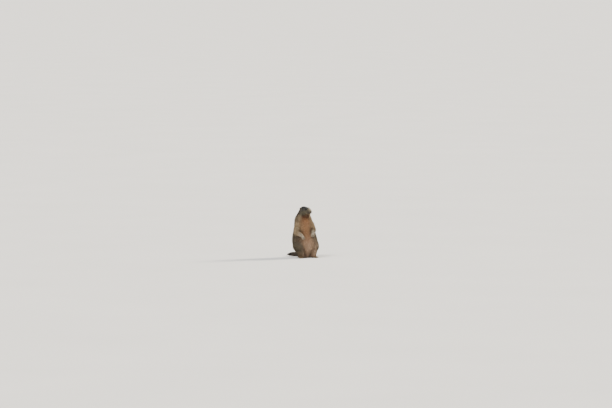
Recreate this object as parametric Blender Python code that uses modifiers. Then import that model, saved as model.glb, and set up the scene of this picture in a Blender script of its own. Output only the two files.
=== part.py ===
"""Alpine marmot sitting upright on its haunches, as a still, life-size museum model.

Units are metres, +Z is up, and the body faces -Y with its left side at +X. The floor is z = 0.
The flesh is modelled as rounded masses that are blended into a few forms, then parted into
named nodes by thin cuts. Every size is worked out from SIT_HEIGHT, through CM.
"""

import math
from collections import namedtuple

import bmesh
import bpy
from mathutils import Matrix, Vector
from mathutils.bvhtree import BVHTree

# Driving sizes. The lists of masses below are written in CM.
SIT_HEIGHT = 0.46
CM = SIT_HEIGHT / 46.0
# The gap between two nodes that meet, in metres.
GAP = 0.0003

# How finely the masses are melted, in CM, and how many triangles are left afterwards.
BODY_VOXEL = 0.34
HEAD_VOXEL = 0.19
PAW_VOXEL = 0.13
BODY_TRIANGLES = 2500
HEAD_TRIANGLES = 2200
LEG_CUT_TRIANGLES = 220
ARM_CUT_TRIANGLES = 180
EAR_TRIANGLES = 220
FOREPAW_TRIANGLES = 400
FOOT_TRIANGLES = 420
TAIL_TRIANGLES = 360

# The head: where its centre is, how far it turns to the animal's left, and how far it nods.
HEAD_CENTRE = (0.4, 3.6, 41.6)
HEAD_TURN = math.radians(40)
HEAD_NOD = math.radians(1)

# Each eye looks along a direction from an aim inside the head, mirrored for the right one. It is
# sunk by a share of its radius, and its lids stand ahead of its centre by another.
EYE_RADIUS = 0.58
EYE_AIM = (1.0, -2.6, 1.9)
EYE_LOOK = (0.86, -0.42, 0.28)
EYE_SINK = 0.68
LID_RING = (0.58, 0.18)
LID_SHAPE = (1.18, 0.86, 1.0)
LID_AHEAD = 0.38
# Each ear stands where a way out of the head, mirrored for the right one, leaves its surface.
EAR_SIZE = (1.1, 0.45, 1.25)
EAR_AIM = (0.0, 1.0, 0.6)
EAR_WAY = (0.93, 0.15, 0.36)
EAR_FACE = (0.74, -0.66, 0.12)
EAR_UP = (0.22, 0.25, 1.0)
EAR_CUP = (0.74, 0.76, 0.86)
EAR_CUP_PLACE = (0.0, 0.08, 0.26)
NOSE_SIZE = (0.82, 0.5, 0.58)
NOSE_HEIGHT = 0.25
NOSTRIL_SIZE = (0.1, 0.26, 0.13)
NOSTRIL_PLACE = (0.34, -0.4, -0.06)
NOSTRIL_ROLL = 0.5
MOUTH_GROOVE = 0.13
MOUTH_HEIGHT = -1.85
MOUTH_DROOP = 0.24
MOUTH_BACK = (0.0, -4.0)
MOUTH_REACH = math.radians(66)
# Rays that look for the head's surface start this far out.
FAR_OUT = 12.0

# The neck is parted from the head and from the torso by leaning planes through these points.
HEAD_CUT = (0.1, 4.6, 37.4)
HEAD_CUT_LEAN = math.radians(24)
NECK_CUT = (0.0, 4.4, 33.6)
NECK_CUT_LEAN = math.radians(12)

Mass = namedtuple("Mass", "at radii turn", defaults=[(0, 0, 0)])
Section = namedtuple("Section", "place centre half_width half_depth")
Arm = namedtuple("Arm", "shoulder elbow wrist tip")
ClawShape = namedtuple("ClawShape", "length radius bend")
Claw = namedtuple("Claw", "name root direction curl shape")

CLAW_FORE = ClawShape(1.35, 0.21, 0.34)
CLAW_HIND = ClawShape(1.25, 0.24, 0.16)

CLAW_STEPS = 4
# A claw starts this far inside its digit.
CLAW_ROOT = -0.45

# Level sections from the seat to the nape: height, centre in Y, half-width and half-depth.
TRUNK = [
    Section(1.6, 1.5, 5.6, 7.0),
    Section(3.2, 1.5, 6.2, 7.9),
    Section(6.2, 1.2, 7.5, 9.4),
    Section(10.0, 0.8, 10.4, 10.9),
    Section(13.9, 0.8, 12.0, 11.1),
    Section(17.7, 1.7, 11.7, 10.2),
    Section(21.6, 2.6, 10.8, 9.3),
    Section(25.4, 3.2, 9.8, 8.4),
    Section(29.2, 4.0, 9.0, 7.5),
    Section(32.8, 4.9, 8.6, 6.9),
    Section(35.6, 5.1, 7.8, 6.4),
    Section(38.2, 4.7, 6.3, 5.7),
    Section(40.4, 4.2, 5.0, 4.9),
    Section(42.0, 3.9, 4.0, 4.0),
]
TRUNK_HEIGHT = 2.6
TRUNK_STEPS = 4
# The part of the trunk that the head rests on.
NAPE = TRUNK[-6:]

# Head masses are in the head's own frame, with its centre at 0 and the nose towards -Y.
CRANIUM = [
    Mass((0.0, 0.2, 0.7), (4.0, 4.4, 3.7)),
    Mass((0.0, 0.8, -2.9), (3.8, 3.8, 2.6)),
]
# Upright sections of the muzzle and of the jaw, from back to front: place in Y, centre in Z,
# half-width and half-height.
MUZZLE = [
    Section(-1.2, 0.6, 3.4, 3.4),
    Section(-2.8, 0.6, 3.0, 3.15),
    Section(-4.2, 0.5, 2.55, 2.8),
    Section(-5.3, 0.35, 2.2, 2.45),
    Section(-6.1, 0.15, 1.8, 2.1),
]
JAW = [
    Section(-0.5, -2.6, 3.2, 2.0),
    Section(-2.6, -2.75, 2.5, 1.75),
    Section(-4.4, -2.7, 1.85, 1.45),
    Section(-5.3, -2.6, 1.35, 1.1),
]
MUZZLE_LENGTH = 1.25
FACE_PAIRS = [
    Mass((2.3, 0.0, -1.3), (2.5, 3.5, 3.1)),
    Mass((1.7, -2.8, -1.3), (1.9, 2.8, 2.2)),
    Mass((1.0, -5.75, -0.85), (1.3, 1.5, 1.2)),
    Mass((2.1, -2.1, 2.5), (1.3, 1.9, 1.05)),
]
HIND_LEG_PAIRS = [
    Mass((7.1, -1.6, 10.6), (5.2, 7.4, 6.1), (0.2, 0.0, 0.0)),
    Mass((7.5, -5.9, 10.3), (3.4, 3.8, 4.2)),
    Mass((6.3, -4.6, 6.2), (3.2, 5.0, 4.6)),
    Mass((5.8, -3.8, 3.6), (2.7, 5.6, 3.4)),
]

RIGHT_ARM = Arm((-6.2, 1.9, 29.4), (-8.9, -1.0, 22.7), (-6.7, -8.5, 20.5), (-4.8, -10.1, 17.1))
LEFT_ARM = Arm((5.8, 1.9, 29.4), (7.5, -0.9, 24.6), (4.3, -8.7, 22.8), (3.1, -10.3, 19.4))
ARM_RADII = (3.6, 3.15, 2.6, 2.2, 1.5)
WRIST_RADIUS = ARM_RADII[-1]
# The arm's form reaches this far past the wrist, inside the hand.
ARM_REACH = 1.6
# How far the regions that part off an arm and a leg stand out round their masses.
ARM_REGION_GROWTH = 0.3
LEG_REGION_GROWTH = 0.8
REGION_VOXEL = 0.3

PALM = (1.35, 0.8, 1.5)
FINGER_SPREAD = (-0.95, -0.33, 0.33, 0.95)
FINGER_LENGTHS = (1.5, 1.9, 1.8, 1.35)
FINGER_RADIUS = 0.36
THUMB_LENGTH = 0.7
THUMB_RADII = (0.34, 0.26)

HEEL = (6.0, -1.4, 1.1)
FOOT_LENGTH = 9.0
FOOT_TOE_OUT = math.radians(9)
BALL_HALF_WIDTH = 1.75
TOE_SPREAD = (-1.45, -0.75, 0.0, 0.75, 1.45)
TOE_LENGTHS = (1.3, 2.1, 2.4, 2.2, 1.5)
TOE_RADIUS = 0.5

TAIL_PATH = [
    (0.0, 7.5, 4.6),
    (-0.6, 11.2, 2.7),
    (-2.8, 14.6, 2.0),
    (-5.6, 17.4, 1.9),
    (-7.8, 19.4, 1.6),
]
# The tail's core inside its coat, from root to tip, and how far it is flattened.
TAIL_RADII = (2.0, 1.85, 1.85, 1.6, 0.8)
TAIL_FLAT = 0.82
# The coat of the tail: rings of flat locks that lie back over one another.
LOCK_RINGS = 6
LOCKS_ROUND = 5
LOCK_LENGTH = 3.9
LOCK_WIDTH = 2.2
LOCK_THICKNESS = 0.5
LOCK_ROOT_DEPTH = 0.45
LOCK_LIFT = math.radians(30)
LOCK_STEPS = 3

COLOURS = {
    "crown": (0.09, 0.09, 0.09),
    "coat": (0.33, 0.25, 0.17),
    "belly": (0.45, 0.22, 0.10),
    "foot": (0.42, 0.29, 0.17),
    "tail": (0.11, 0.09, 0.07),
    "eye": (0.01, 0.008, 0.006),
    "nose": (0.03, 0.028, 0.028),
    "claw": (0.045, 0.038, 0.03),
}
ROUGHNESS = {"eye": 0.08, "nose": 0.35, "claw": 0.4}


def cm(*values):
    """A point given in centimetres, as a vector in metres."""
    return Vector(values) * CM


def head_matrix():
    """The placing of the head's own frame in the body's frame."""
    turn = Matrix.Rotation(HEAD_TURN, 4, "Z") @ Matrix.Rotation(HEAD_NOD, 4, "X")
    return Matrix.Translation(cm(*HEAD_CENTRE)) @ turn


def mirrored(masses, side):
    """The same masses at the animal's left (side 1) or right (side -1)."""
    found = []
    for mass in masses:
        x, y, z = mass.at
        tilt, yaw, roll = mass.turn
        found.append(Mass((side * x, y, z), mass.radii, (tilt, side * yaw, side * roll)))
    return found


def both(masses):
    return mirrored(masses, 1) + mirrored(masses, -1)


def grown(masses, extra):
    """The masses with every radius made longer."""
    return [Mass(m.at, tuple(r + extra for r in m.radii), m.turn) for m in masses]


def eased(a, b, c, d, share):
    """A smooth curve from b to c at this share of the way, led by its neighbours."""
    return 0.5 * (
        2 * b
        + (c - a) * share
        + (2 * a - 5 * b + 4 * c - d) * share**2
        + (3 * b - a - 3 * c + d) * share**3
    )


def eased_row(row, steps):
    """The row's vectors with eased ones between them."""
    ends = [row[0] * 2 - row[1], *row, row[-1] * 2 - row[-2]]
    found = []
    for index in range(1, len(ends) - 2):
        four = ends[index - 1 : index + 3]
        found += [eased(*four, step / steps) for step in range(steps)]
    found.append(row[-1])
    return found


def stacked(sections, steps=TRUNK_STEPS):
    """Masses of a trunk that follows level sections smoothly."""
    masses = []
    for height, y, half_width, half_depth in eased_row([Vector(s) for s in sections], steps):
        masses.append(Mass((0.0, y, height), (half_width, half_depth, TRUNK_HEIGHT)))
    return masses


def threaded(sections, steps=3):
    """Masses of a muzzle or jaw that follows upright sections smoothly."""
    masses = []
    for y, z, half_width, half_height in eased_row([Vector(s) for s in sections], steps):
        masses.append(Mass((0.0, y, z), (half_width, MUZZLE_LENGTH, half_height)))
    return masses


def limb(points, radii, steps=7, flat=1.0):
    """Masses in a chain along a bent line, with the radius eased between the points."""
    found = []
    for index in range(len(points) - 1):
        start, end = Vector(points[index]), Vector(points[index + 1])
        for step in range(steps):
            share = step / steps
            radius = radii[index] * (1 - share) + radii[index + 1] * share
            found.append(Mass(tuple(start.lerp(end, share)), (radius, radius, radius * flat)))
    radius = radii[-1]
    found.append(Mass(tuple(points[-1]), (radius, radius, radius * flat)))
    return found


def new_object(name, mesh):
    obj = bpy.data.objects.new(name, mesh)
    bpy.context.scene.collection.objects.link(obj)
    return obj


def drop(*objects):
    for obj in objects:
        bpy.data.objects.remove(obj)


def settle(obj):
    """Replaces the object's mesh with its evaluated one, so that no modifier is left."""
    graph = bpy.context.evaluated_depsgraph_get()
    mesh = bpy.data.meshes.new_from_object(obj.evaluated_get(graph))
    obj.modifiers.clear()
    obj.data = mesh
    return obj


def balls(name, masses, place=Matrix.Identity(4), subdivisions=3):
    """One mesh of loose ellipsoids, one for each mass."""
    shape = bmesh.new()
    for mass in masses:
        tilt, yaw, roll = mass.turn
        turn = Matrix.Rotation(roll, 4, "Z") @ Matrix.Rotation(yaw, 4, "Y")
        turn = turn @ Matrix.Rotation(tilt, 4, "X")
        size = Matrix.Diagonal((*(Vector(mass.radii) * CM), 1.0))
        where = place @ Matrix.Translation(cm(*mass.at)) @ turn @ size
        bmesh.ops.create_icosphere(shape, subdivisions=subdivisions, radius=1.0, matrix=where)
    mesh = bpy.data.meshes.new(name)
    shape.to_mesh(mesh)
    shape.free()
    return new_object(name, mesh)


def thinned(obj, triangles):
    """Collapses edges until about this many triangles are left."""
    obj.data.calc_loop_triangles()
    share = triangles / len(obj.data.loop_triangles)
    if share < 1:
        modifier = obj.modifiers.new("Fewer", "DECIMATE")
        modifier.ratio = share
        modifier.use_collapse_triangulate = True
        settle(obj)
    return obj


def blended(obj, voxel, smoothing, triangles):
    """Melts loose ellipsoids into one smooth body."""
    remesh = obj.modifiers.new("Melt", "REMESH")
    remesh.mode = "VOXEL"
    remesh.voxel_size = voxel * CM
    smooth = obj.modifiers.new("Soften", "SMOOTH")
    smooth.factor = 0.5
    smooth.iterations = smoothing
    settle(obj)
    return thinned(obj, triangles)


def join(objects):
    """Moves the other objects' meshes into the first one, as loose shells."""
    shape = bmesh.new()
    for obj in objects:
        mesh = obj.data.copy()
        mesh.transform(obj.matrix_world)
        shape.from_mesh(mesh)
        bpy.data.meshes.remove(mesh)
    shape.to_mesh(objects[0].data)
    shape.free()
    objects[0].matrix_world = Matrix.Identity(4)
    drop(*objects[1:])
    return objects[0]


def carve(obj, cutter, operation="DIFFERENCE"):
    """Cuts by the manifold solver: the exact one leaves doubled edges on these round forms."""
    modifier = obj.modifiers.new("Carve", "BOOLEAN")
    modifier.operation = operation
    modifier.solver = "MANIFOLD"
    modifier.object = cutter
    return settle(obj)


def swollen(obj, by):
    """A copy whose surface is moved outwards, as a cutter that leaves a gap."""
    copy = new_object(obj.name + "_swollen", obj.data.copy())
    modifier = copy.modifiers.new("Swell", "DISPLACE")
    modifier.strength = by
    modifier.mid_level = 0.0
    return settle(copy)


def half_space(point, normal, offset=0.0):
    """A large box that fills the side of a plane that its normal points away from."""
    size = 1.2
    shape = bmesh.new()
    bmesh.ops.create_cube(shape, size=size)
    mesh = bpy.data.meshes.new("half_space")
    shape.to_mesh(mesh)
    shape.free()
    normal = normal.normalized()
    turn = normal.to_track_quat("Z", "X").to_matrix().to_4x4()
    centre = point + normal * (offset - size / 2)
    mesh.transform(Matrix.Translation(centre) @ turn)
    return new_object("half_space", mesh)


def keep_above(obj, point, normal, gap=0.0):
    """Cuts away what lies behind a plane, and a gap's width before it."""
    cutter = half_space(point, normal, gap)
    carve(obj, cutter)
    drop(cutter)
    return obj


def largest_body(obj):
    """Keeps the largest closed surface and removes the rest."""
    shape = bmesh.new()
    shape.from_mesh(obj.data)
    bmesh.ops.remove_doubles(shape, verts=shape.verts, dist=1e-6)
    unseen = set(shape.faces)
    bodies = []
    while unseen:
        front = [unseen.pop()]
        body = list(front)
        while front:
            face = front.pop()
            for edge in face.edges:
                for other in edge.link_faces:
                    if other in unseen:
                        unseen.remove(other)
                        front.append(other)
                        body.append(other)
        bodies.append(body)
    bodies.sort(key=len)
    for body in bodies[:-1]:
        bmesh.ops.delete(shape, geom=body, context="FACES")
    bmesh.ops.triangulate(shape, faces=shape.faces)
    shape.to_mesh(obj.data)
    shape.free()
    return obj


def part_off(body, region, name):
    """Takes the share of the body inside the region as a new node, a gap apart from the rest."""
    piece = new_object(name, body.data.copy())
    carve(piece, region, "INTERSECT")
    wider = swollen(region, GAP)
    carve(body, wider)
    drop(wider)
    return largest_body(piece)


def hit(tree, start, direction):
    """Where a ray meets a surface, with the normal there."""
    place, normal, _, _ = tree.ray_cast(start, direction)
    return place, normal


def surface_of(obj):
    shape = bmesh.new()
    shape.from_mesh(obj.data)
    tree = BVHTree.FromBMesh(shape)
    shape.free()
    return tree


def tube(name, points, radii, resolution=1):
    """A rounded rod along points in metres, as a closed mesh. Radii are in metres."""
    curve = bpy.data.curves.new(name, "CURVE")
    curve.dimensions = "3D"
    curve.bevel_depth = 1.0
    curve.bevel_resolution = resolution
    curve.use_fill_caps = True
    spline = curve.splines.new("POLY")
    spline.points.add(len(points) - 1)
    for point, place, radius in zip(spline.points, points, radii):
        point.co = (*place, 1.0)
        point.radius = radius
    obj = new_object(name, curve)
    graph = bpy.context.evaluated_depsgraph_get()
    mesh = bpy.data.meshes.new_from_object(obj.evaluated_get(graph))
    drop(obj)
    shape = bmesh.new()
    shape.from_mesh(mesh)
    bmesh.ops.remove_doubles(shape, verts=shape.verts, dist=1e-6)
    bmesh.ops.recalc_face_normals(shape, faces=shape.faces)
    bmesh.ops.triangulate(shape, faces=shape.faces)
    shape.to_mesh(mesh)
    shape.free()
    return new_object(name, mesh)


def arm_masses(arm):
    """Upper arm and forearm as one chain, carried on past the wrist into the palm."""
    shoulder, elbow, wrist, tip = (Vector(p) for p in arm)
    middle = shoulder.lerp(elbow, 0.5)
    forearm = elbow.lerp(wrist, 0.45)
    palm = wrist + (tip - wrist).normalized() * ARM_REACH
    return limb([shoulder, middle, elbow, forearm, wrist, palm], [*ARM_RADII, WRIST_RADIUS])


def hand_frame(arm):
    """The forepaw's frame: its fingers run along -Z and its back faces -Y."""
    wrist, tip = Vector(arm.wrist), Vector(arm.tip)
    up = (wrist - tip).normalized()
    forearm = (wrist - Vector(arm.elbow)).normalized()
    side = forearm.cross(up)
    side = side.normalized() if side.x > 0 else -side.normalized()
    back = up.cross(side).normalized()
    turn = Matrix((side, back, up)).transposed().to_4x4()
    return Matrix.Translation(wrist * CM) @ turn


def finger_ends(side):
    """Root and tip of each finger in the hand's frame, from the inner to the outer one."""
    ends = []
    for spread, length in zip(FINGER_SPREAD, FINGER_LENGTHS):
        root = Vector((side * spread, -0.1, -2.0))
        tip = root + Vector((side * spread * 0.28, 0.35, -1.0)).normalized() * length
        ends.append((root, tip))
    return ends


def hand_masses(side):
    masses = [
        Mass((0.0, 0.0, -1.2), PALM),
        Mass((0.0, 0.25, -1.9), (1.2, 0.6, 0.75)),
    ]
    for root, tip in finger_ends(side):
        masses += limb([root, tip], [FINGER_RADIUS * 1.15, FINGER_RADIUS], steps=4)
    thumb_root = Vector((-side * 1.0, 0.2, -1.3))
    thumb_tip = thumb_root + Vector((-side * 0.6, 0.25, -0.7)).normalized() * THUMB_LENGTH
    masses += limb([thumb_root, thumb_tip], THUMB_RADII, steps=3)
    return masses


def foot_frame(side):
    """The hind foot's frame: the heel at 0 and the toes towards -Y."""
    x, y, _ = HEEL
    turn = Matrix.Rotation(side * FOOT_TOE_OUT, 4, "Z")
    return Matrix.Translation(cm(side * x, y, 0.0)) @ turn


def toe_ends(side):
    """Root and tip of each toe in the foot's frame, from the inner to the outer one."""
    ends = []
    for spread, length in zip(TOE_SPREAD, TOE_LENGTHS):
        bend = 0.7 - 0.16 * spread * spread
        root = Vector((side * spread * 0.9, -FOOT_LENGTH + 3.4 - bend, 0.8))
        tip = root + Vector((side * spread * 0.22, -1.0, -0.05)).normalized() * length
        ends.append((root, tip))
    return ends


def foot_masses(side):
    sole = -FOOT_LENGTH + 3.0
    masses = limb(
        [(0.0, 0.0, 1.0), (0.0, -3.0, 1.05), (0.0, sole + 0.6, 0.85)],
        [1.25, 1.3, 1.35],
        steps=5,
    )
    masses.append(Mass((0.0, sole + 0.3, 0.72), (BALL_HALF_WIDTH, 1.5, 0.95)))
    masses.append(Mass((0.0, -2.6, 2.0), (1.5, 2.6, 1.5)))
    masses.append(Mass((0.0, -0.4, 2.4), (1.7, 1.9, 2.2)))
    for root, tip in toe_ends(side):
        masses += limb([root, tip], [TOE_RADIUS * 1.12, TOE_RADIUS * 0.92], steps=4)
    return masses


def claws_of(ends, place, name, shape, curl):
    """A claw for each digit, rooted in its tip and curling towards the given way."""
    claws = []
    turn = place.to_3x3()
    for number, (root, tip) in enumerate(ends, start=1):
        ahead = (turn @ (tip - root)).normalized()
        where = place @ (tip * CM)
        claws.append(Claw(f"{name}_{number}", where, ahead, turn @ Vector(curl), shape))
    return claws


def claw_points(claw, start=0.0):
    """The claw's centre line, from its root inside the digit to its tip."""
    points = []
    length = claw.shape.length * CM
    for step in range(CLAW_STEPS + 1):
        share = step / CLAW_STEPS
        along = start * (1 - share) + length * share
        drop_by = claw.shape.bend * length * share * share
        points.append(claw.root + claw.direction * along + claw.curl * drop_by)
    return points


def claw_radii(claw, extra=0.0):
    radii = []
    for step in range(CLAW_STEPS + 1):
        share = step / CLAW_STEPS
        radii.append(claw.shape.radius * CM * (1 - share) ** 0.7 * 0.94 + 0.0003 + extra)
    return radii


def paint(obj, colour):
    """Gives a node its own material, named for the finish."""
    material = bpy.data.materials.get(colour)
    if material is None:
        material = bpy.data.materials.new(colour)
        material.use_nodes = True
        shader = material.node_tree.nodes["Principled BSDF"]
        shader.inputs["Base Color"].default_value = (*COLOURS[colour], 1.0)
        shader.inputs["Roughness"].default_value = ROUGHNESS.get(colour, 0.85)
        shader.inputs["Metallic"].default_value = 0.0
    obj.data.materials.clear()
    obj.data.materials.append(material)
    obj.data.shade_smooth()
    obj.data.set_sharp_from_angle(angle=math.radians(40))


def all_head_masses():
    return CRANIUM + threaded(MUZZLE) + threaded(JAW) + both(FACE_PAIRS)


def make_head(head_place):
    """The head with its muzzle, before the eyes, nose, mouth and ears are cut into it."""
    skull = balls("skull", all_head_masses(), head_place)
    head = join([skull, balls("nape", stacked(NAPE))])
    head.name = "head"
    blended(head, HEAD_VOXEL, 12, HEAD_TRIANGLES)
    lean = HEAD_CUT_LEAN
    normal = Matrix.Rotation(HEAD_TURN / 2, 3, "Z") @ Vector((0, -math.sin(lean), math.cos(lean)))
    keep_above(head, cm(*HEAD_CUT), normal, GAP)
    return largest_body(head)


def make_body(head_place):
    """Neck, torso, arms and haunches as one blended body, cut off below the head."""
    masses = stacked(TRUNK) + both(HIND_LEG_PAIRS)
    masses += arm_masses(RIGHT_ARM) + arm_masses(LEFT_ARM)
    skull = balls("skull", CRANIUM + both(FACE_PAIRS[:1]), head_place)
    body = join([balls("body", masses), skull])
    blended(body, BODY_VOXEL, 14, BODY_TRIANGLES)
    return body


def cut_neck(body):
    """Parts the neck off the body between two leaning planes."""
    lean = HEAD_CUT_LEAN
    top = Matrix.Rotation(HEAD_TURN / 2, 3, "Z") @ Vector((0, -math.sin(lean), math.cos(lean)))
    bottom = Vector((0, -math.sin(NECK_CUT_LEAN), math.cos(NECK_CUT_LEAN)))
    neck = new_object("neck", body.data.copy())
    keep_above(neck, cm(*NECK_CUT), bottom, GAP)
    keep_above(neck, cm(*HEAD_CUT), -top)
    keep_above(body, cm(*NECK_CUT), -bottom)
    largest_body(body)
    return largest_body(neck)


def cut_arm(body, arm, side):
    """Parts one arm off the body and splits it at the elbow. Returns upper arm and forearm."""
    around = balls("arm_region", grown(arm_masses(arm), ARM_REGION_GROWTH))
    region = blended(around, REGION_VOXEL, 6, ARM_CUT_TRIANGLES)
    upper = part_off(body, region, f"upper_arm_{side}")
    drop(region)
    elbow, wrist, tip = Vector(arm.elbow), Vector(arm.wrist), Vector(arm.tip)
    bend = ((wrist - elbow).normalized() + (elbow - Vector(arm.shoulder)).normalized()).normalized()
    forearm = new_object(f"forearm_{side}", upper.data.copy())
    keep_above(forearm, elbow * CM, bend, GAP)
    keep_above(upper, elbow * CM, -bend)
    hand_way = (tip - wrist).normalized()
    keep_above(forearm, wrist * CM, -hand_way)
    return largest_body(upper), largest_body(forearm)


def make_forepaw(arm, side, sign):
    """The hand from the wrist down, with a socket for each claw. Returns paw and claws."""
    place = hand_frame(arm)
    hand = balls("hand", hand_masses(sign), place)
    wrist, tip = Vector(arm.wrist), Vector(arm.tip)
    hand_way = (tip - wrist).normalized()
    stub = balls("stub", limb([wrist - hand_way * 1.4, wrist + hand_way * 0.9], [WRIST_RADIUS, 1.25]))
    paw = join([hand, stub])
    paw.name = f"forepaw_{side}"
    blended(paw, PAW_VOXEL, 4, FOREPAW_TRIANGLES)
    keep_above(paw, wrist * CM, hand_way, GAP)
    largest_body(paw)
    claws = claws_of(finger_ends(sign), place, f"claw_fore_{side}", CLAW_FORE, (0.0, 1.0, 0.0))
    return paw, claws


def make_foot(side, sign):
    """The hind foot with its flat sole. Returns foot and claws."""
    place = foot_frame(sign)
    foot = balls(f"hind_foot_{side}", foot_masses(sign), place)
    blended(foot, PAW_VOXEL * 1.1, 4, FOOT_TRIANGLES)
    keep_above(foot, Vector((0, 0, 0)), Vector((0, 0, 1)))
    largest_body(foot)
    claws = claws_of(toe_ends(sign), place, f"claw_hind_{side}", CLAW_HIND, (0.0, 0.0, -1.0))
    return foot, claws


def fit_claws(paw, claws):
    """Sockets the claws into the paw, each as a node of its own."""
    made = []
    for claw in claws:
        root = CLAW_ROOT * CM
        node = tube(claw.name, claw_points(claw, root), claw_radii(claw))
        socket = tube("socket", claw_points(claw, root - GAP), claw_radii(claw, GAP))
        carve(paw, socket)
        drop(socket)
        made.append(node)
    largest_body(paw)
    return made


def tail_points(steps=5):
    """The tail's centre line, eased through the points of its path."""
    return eased_row([Vector(p) for p in TAIL_PATH], steps)


def tail_radius(share):
    """The core's radius at a share of the tail's length."""
    place = share * (len(TAIL_RADII) - 1)
    index = min(int(place), len(TAIL_RADII) - 2)
    part = place - index
    return TAIL_RADII[index] * (1 - part) + TAIL_RADII[index + 1] * part


def lock_mesh(shape, root, along, out, size):
    """Adds one lock: a flat tapering blade that lifts off its root and bends back along the tail.

    The root is a point inside the core, along is the way the coat lies, out is the way out of the
    core, and size scales the lock. Its section is a flat diamond.
    """
    side = along.cross(out).normalized()
    rings = []
    point = root.copy()
    for step in range(LOCK_STEPS + 1):
        share = step / LOCK_STEPS
        lift = LOCK_LIFT * (1 - share) ** 1.5
        ahead = along * math.cos(lift) + out * math.sin(lift)
        upward = out * math.cos(lift) - along * math.sin(lift)
        if step:
            point = point + ahead * (LOCK_LENGTH * size / LOCK_STEPS)
        if step == LOCK_STEPS:
            break
        full = math.sin(math.pi * (0.34 + 0.62 * share)) ** 0.8
        half_width = 0.5 * LOCK_WIDTH * size * full
        half_thickness = 0.5 * LOCK_THICKNESS * size * full
        corners = (
            side * half_width,
            upward * half_thickness,
            side * -half_width,
            upward * -half_thickness,
        )
        rings.append([shape.verts.new((point + corner) * CM) for corner in corners])
    tip = shape.verts.new(point * CM)
    for low, high in zip(rings, rings[1:]):
        for corner in range(4):
            after = (corner + 1) % 4
            shape.faces.new((low[corner], low[after], high[after], high[corner]))
    for corner in range(4):
        shape.faces.new((rings[-1][corner], rings[-1][(corner + 1) % 4], tip))
    shape.faces.new(reversed(rings[0]))


def make_lock(number, root, along, out, size):
    """One lock as a closed object of its own."""
    shape = bmesh.new()
    lock_mesh(shape, root, along, out, size)
    bmesh.ops.triangulate(shape, faces=shape.faces)
    bmesh.ops.recalc_face_normals(shape, faces=shape.faces)
    mesh = bpy.data.meshes.new(f"lock_{number}")
    shape.to_mesh(mesh)
    shape.free()
    return bpy.data.objects.new(f"lock_{number}", mesh)


def tail_locks(points):
    """Locks in staggered rings round the tail's core, closing into a brush at its tip."""
    locks = []
    last = len(points) - 1
    for ring_number in range(LOCK_RINGS):
        share = 0.16 + 0.84 * ring_number / (LOCK_RINGS - 1)
        index = min(int(share * last), last - 1)
        part = share * last - index
        centre = points[index].lerp(points[index + 1], part)
        along = (points[index + 1] - points[index]).normalized()
        level = Vector((0, 0, 1)).cross(along).normalized()
        upright = along.cross(level)
        radius = tail_radius(share)
        closing = max(0.0, (share - 0.8) / 0.2)
        count = LOCKS_ROUND - int(2 * closing)
        for number in range(count):
            angle = 2 * math.pi * (number + 0.5 * (ring_number % 2)) / count
            out = level * math.cos(angle) + upright * math.sin(angle) * TAIL_FLAT
            sway = 0.14 * math.sin(2.3 * number + 1.7 * ring_number)
            lie = (along + level * sway).normalized()
            size = 1.0 + 0.12 * math.sin(1.9 * number + 2.6 * ring_number) - 0.12 * closing
            root = centre + out * max(0.1, radius - LOCK_ROOT_DEPTH)
            locks.append(make_lock(len(locks), root, lie, out.normalized(), size))
    return locks


def fused(core, pieces):
    """Joins closed pieces to a core by one union, and keeps the largest closed surface."""
    group = bpy.data.collections.new("pieces")
    bpy.context.scene.collection.children.link(group)
    for piece in pieces:
        group.objects.link(piece)
    modifier = core.modifiers.new("Fuse", "BOOLEAN")
    modifier.operation = "UNION"
    modifier.solver = "MANIFOLD"
    modifier.operand_type = "COLLECTION"
    modifier.collection = group
    settle(core)
    drop(*pieces)
    bpy.data.collections.remove(group)
    return largest_body(core)


def make_tail():
    """The tail's core with its bushy coat of locks."""
    points = tail_points()
    masses = []
    for number, point in enumerate(points):
        radius = tail_radius(number / (len(points) - 1))
        masses.append(Mass(tuple(point), (radius, radius, radius * TAIL_FLAT)))
    tail = balls("tail", masses)
    blended(tail, 0.25, 5, TAIL_TRIANGLES)
    return fused(tail, tail_locks(points))


def sided(values, sign):
    """A point or direction of the head's left side (sign 1), or its mirror image (sign -1)."""
    x, y, z = values
    return Vector((sign * x, y, z))


def eye_place(tree, head_place, sign):
    """Centre and outward direction of one eye, sunk in the head by its own sizes."""
    look = sided(EYE_LOOK, sign).normalized()
    turn = head_place.to_3x3()
    start = head_place @ ((sided(EYE_AIM, sign) + look * FAR_OUT) * CM)
    place, normal = hit(tree, start, -(turn @ look))
    outward = (turn @ look * 0.6 + normal * 0.4).normalized()
    return place - outward * (EYE_RADIUS * EYE_SINK * CM), outward


def facing(direction, up):
    """A turn whose Z looks along the direction and whose Y leans to up."""
    z = direction.normalized()
    x = up.cross(z).normalized()
    y = z.cross(x)
    return Matrix((x, y, z)).transposed().to_4x4()


def ring(name, place, major, minor, squash):
    """A ring of round section, used for the eyelids."""
    bpy.ops.mesh.primitive_torus_add(
        major_radius=major * CM, minor_radius=minor * CM, major_segments=20, minor_segments=8
    )
    obj = bpy.context.object
    obj.name = name
    obj.data.transform(place @ Matrix.Diagonal((*squash, 1.0)))
    obj.matrix_world = Matrix.Identity(4)
    return obj


def ball(name, radius, place, segments=16):
    shape = bmesh.new()
    bmesh.ops.create_uvsphere(
        shape, u_segments=segments, v_segments=segments // 2, radius=radius, matrix=place
    )
    bmesh.ops.triangulate(shape, faces=shape.faces)
    mesh = bpy.data.meshes.new(name)
    shape.to_mesh(mesh)
    shape.free()
    return new_object(name, mesh)


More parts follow.
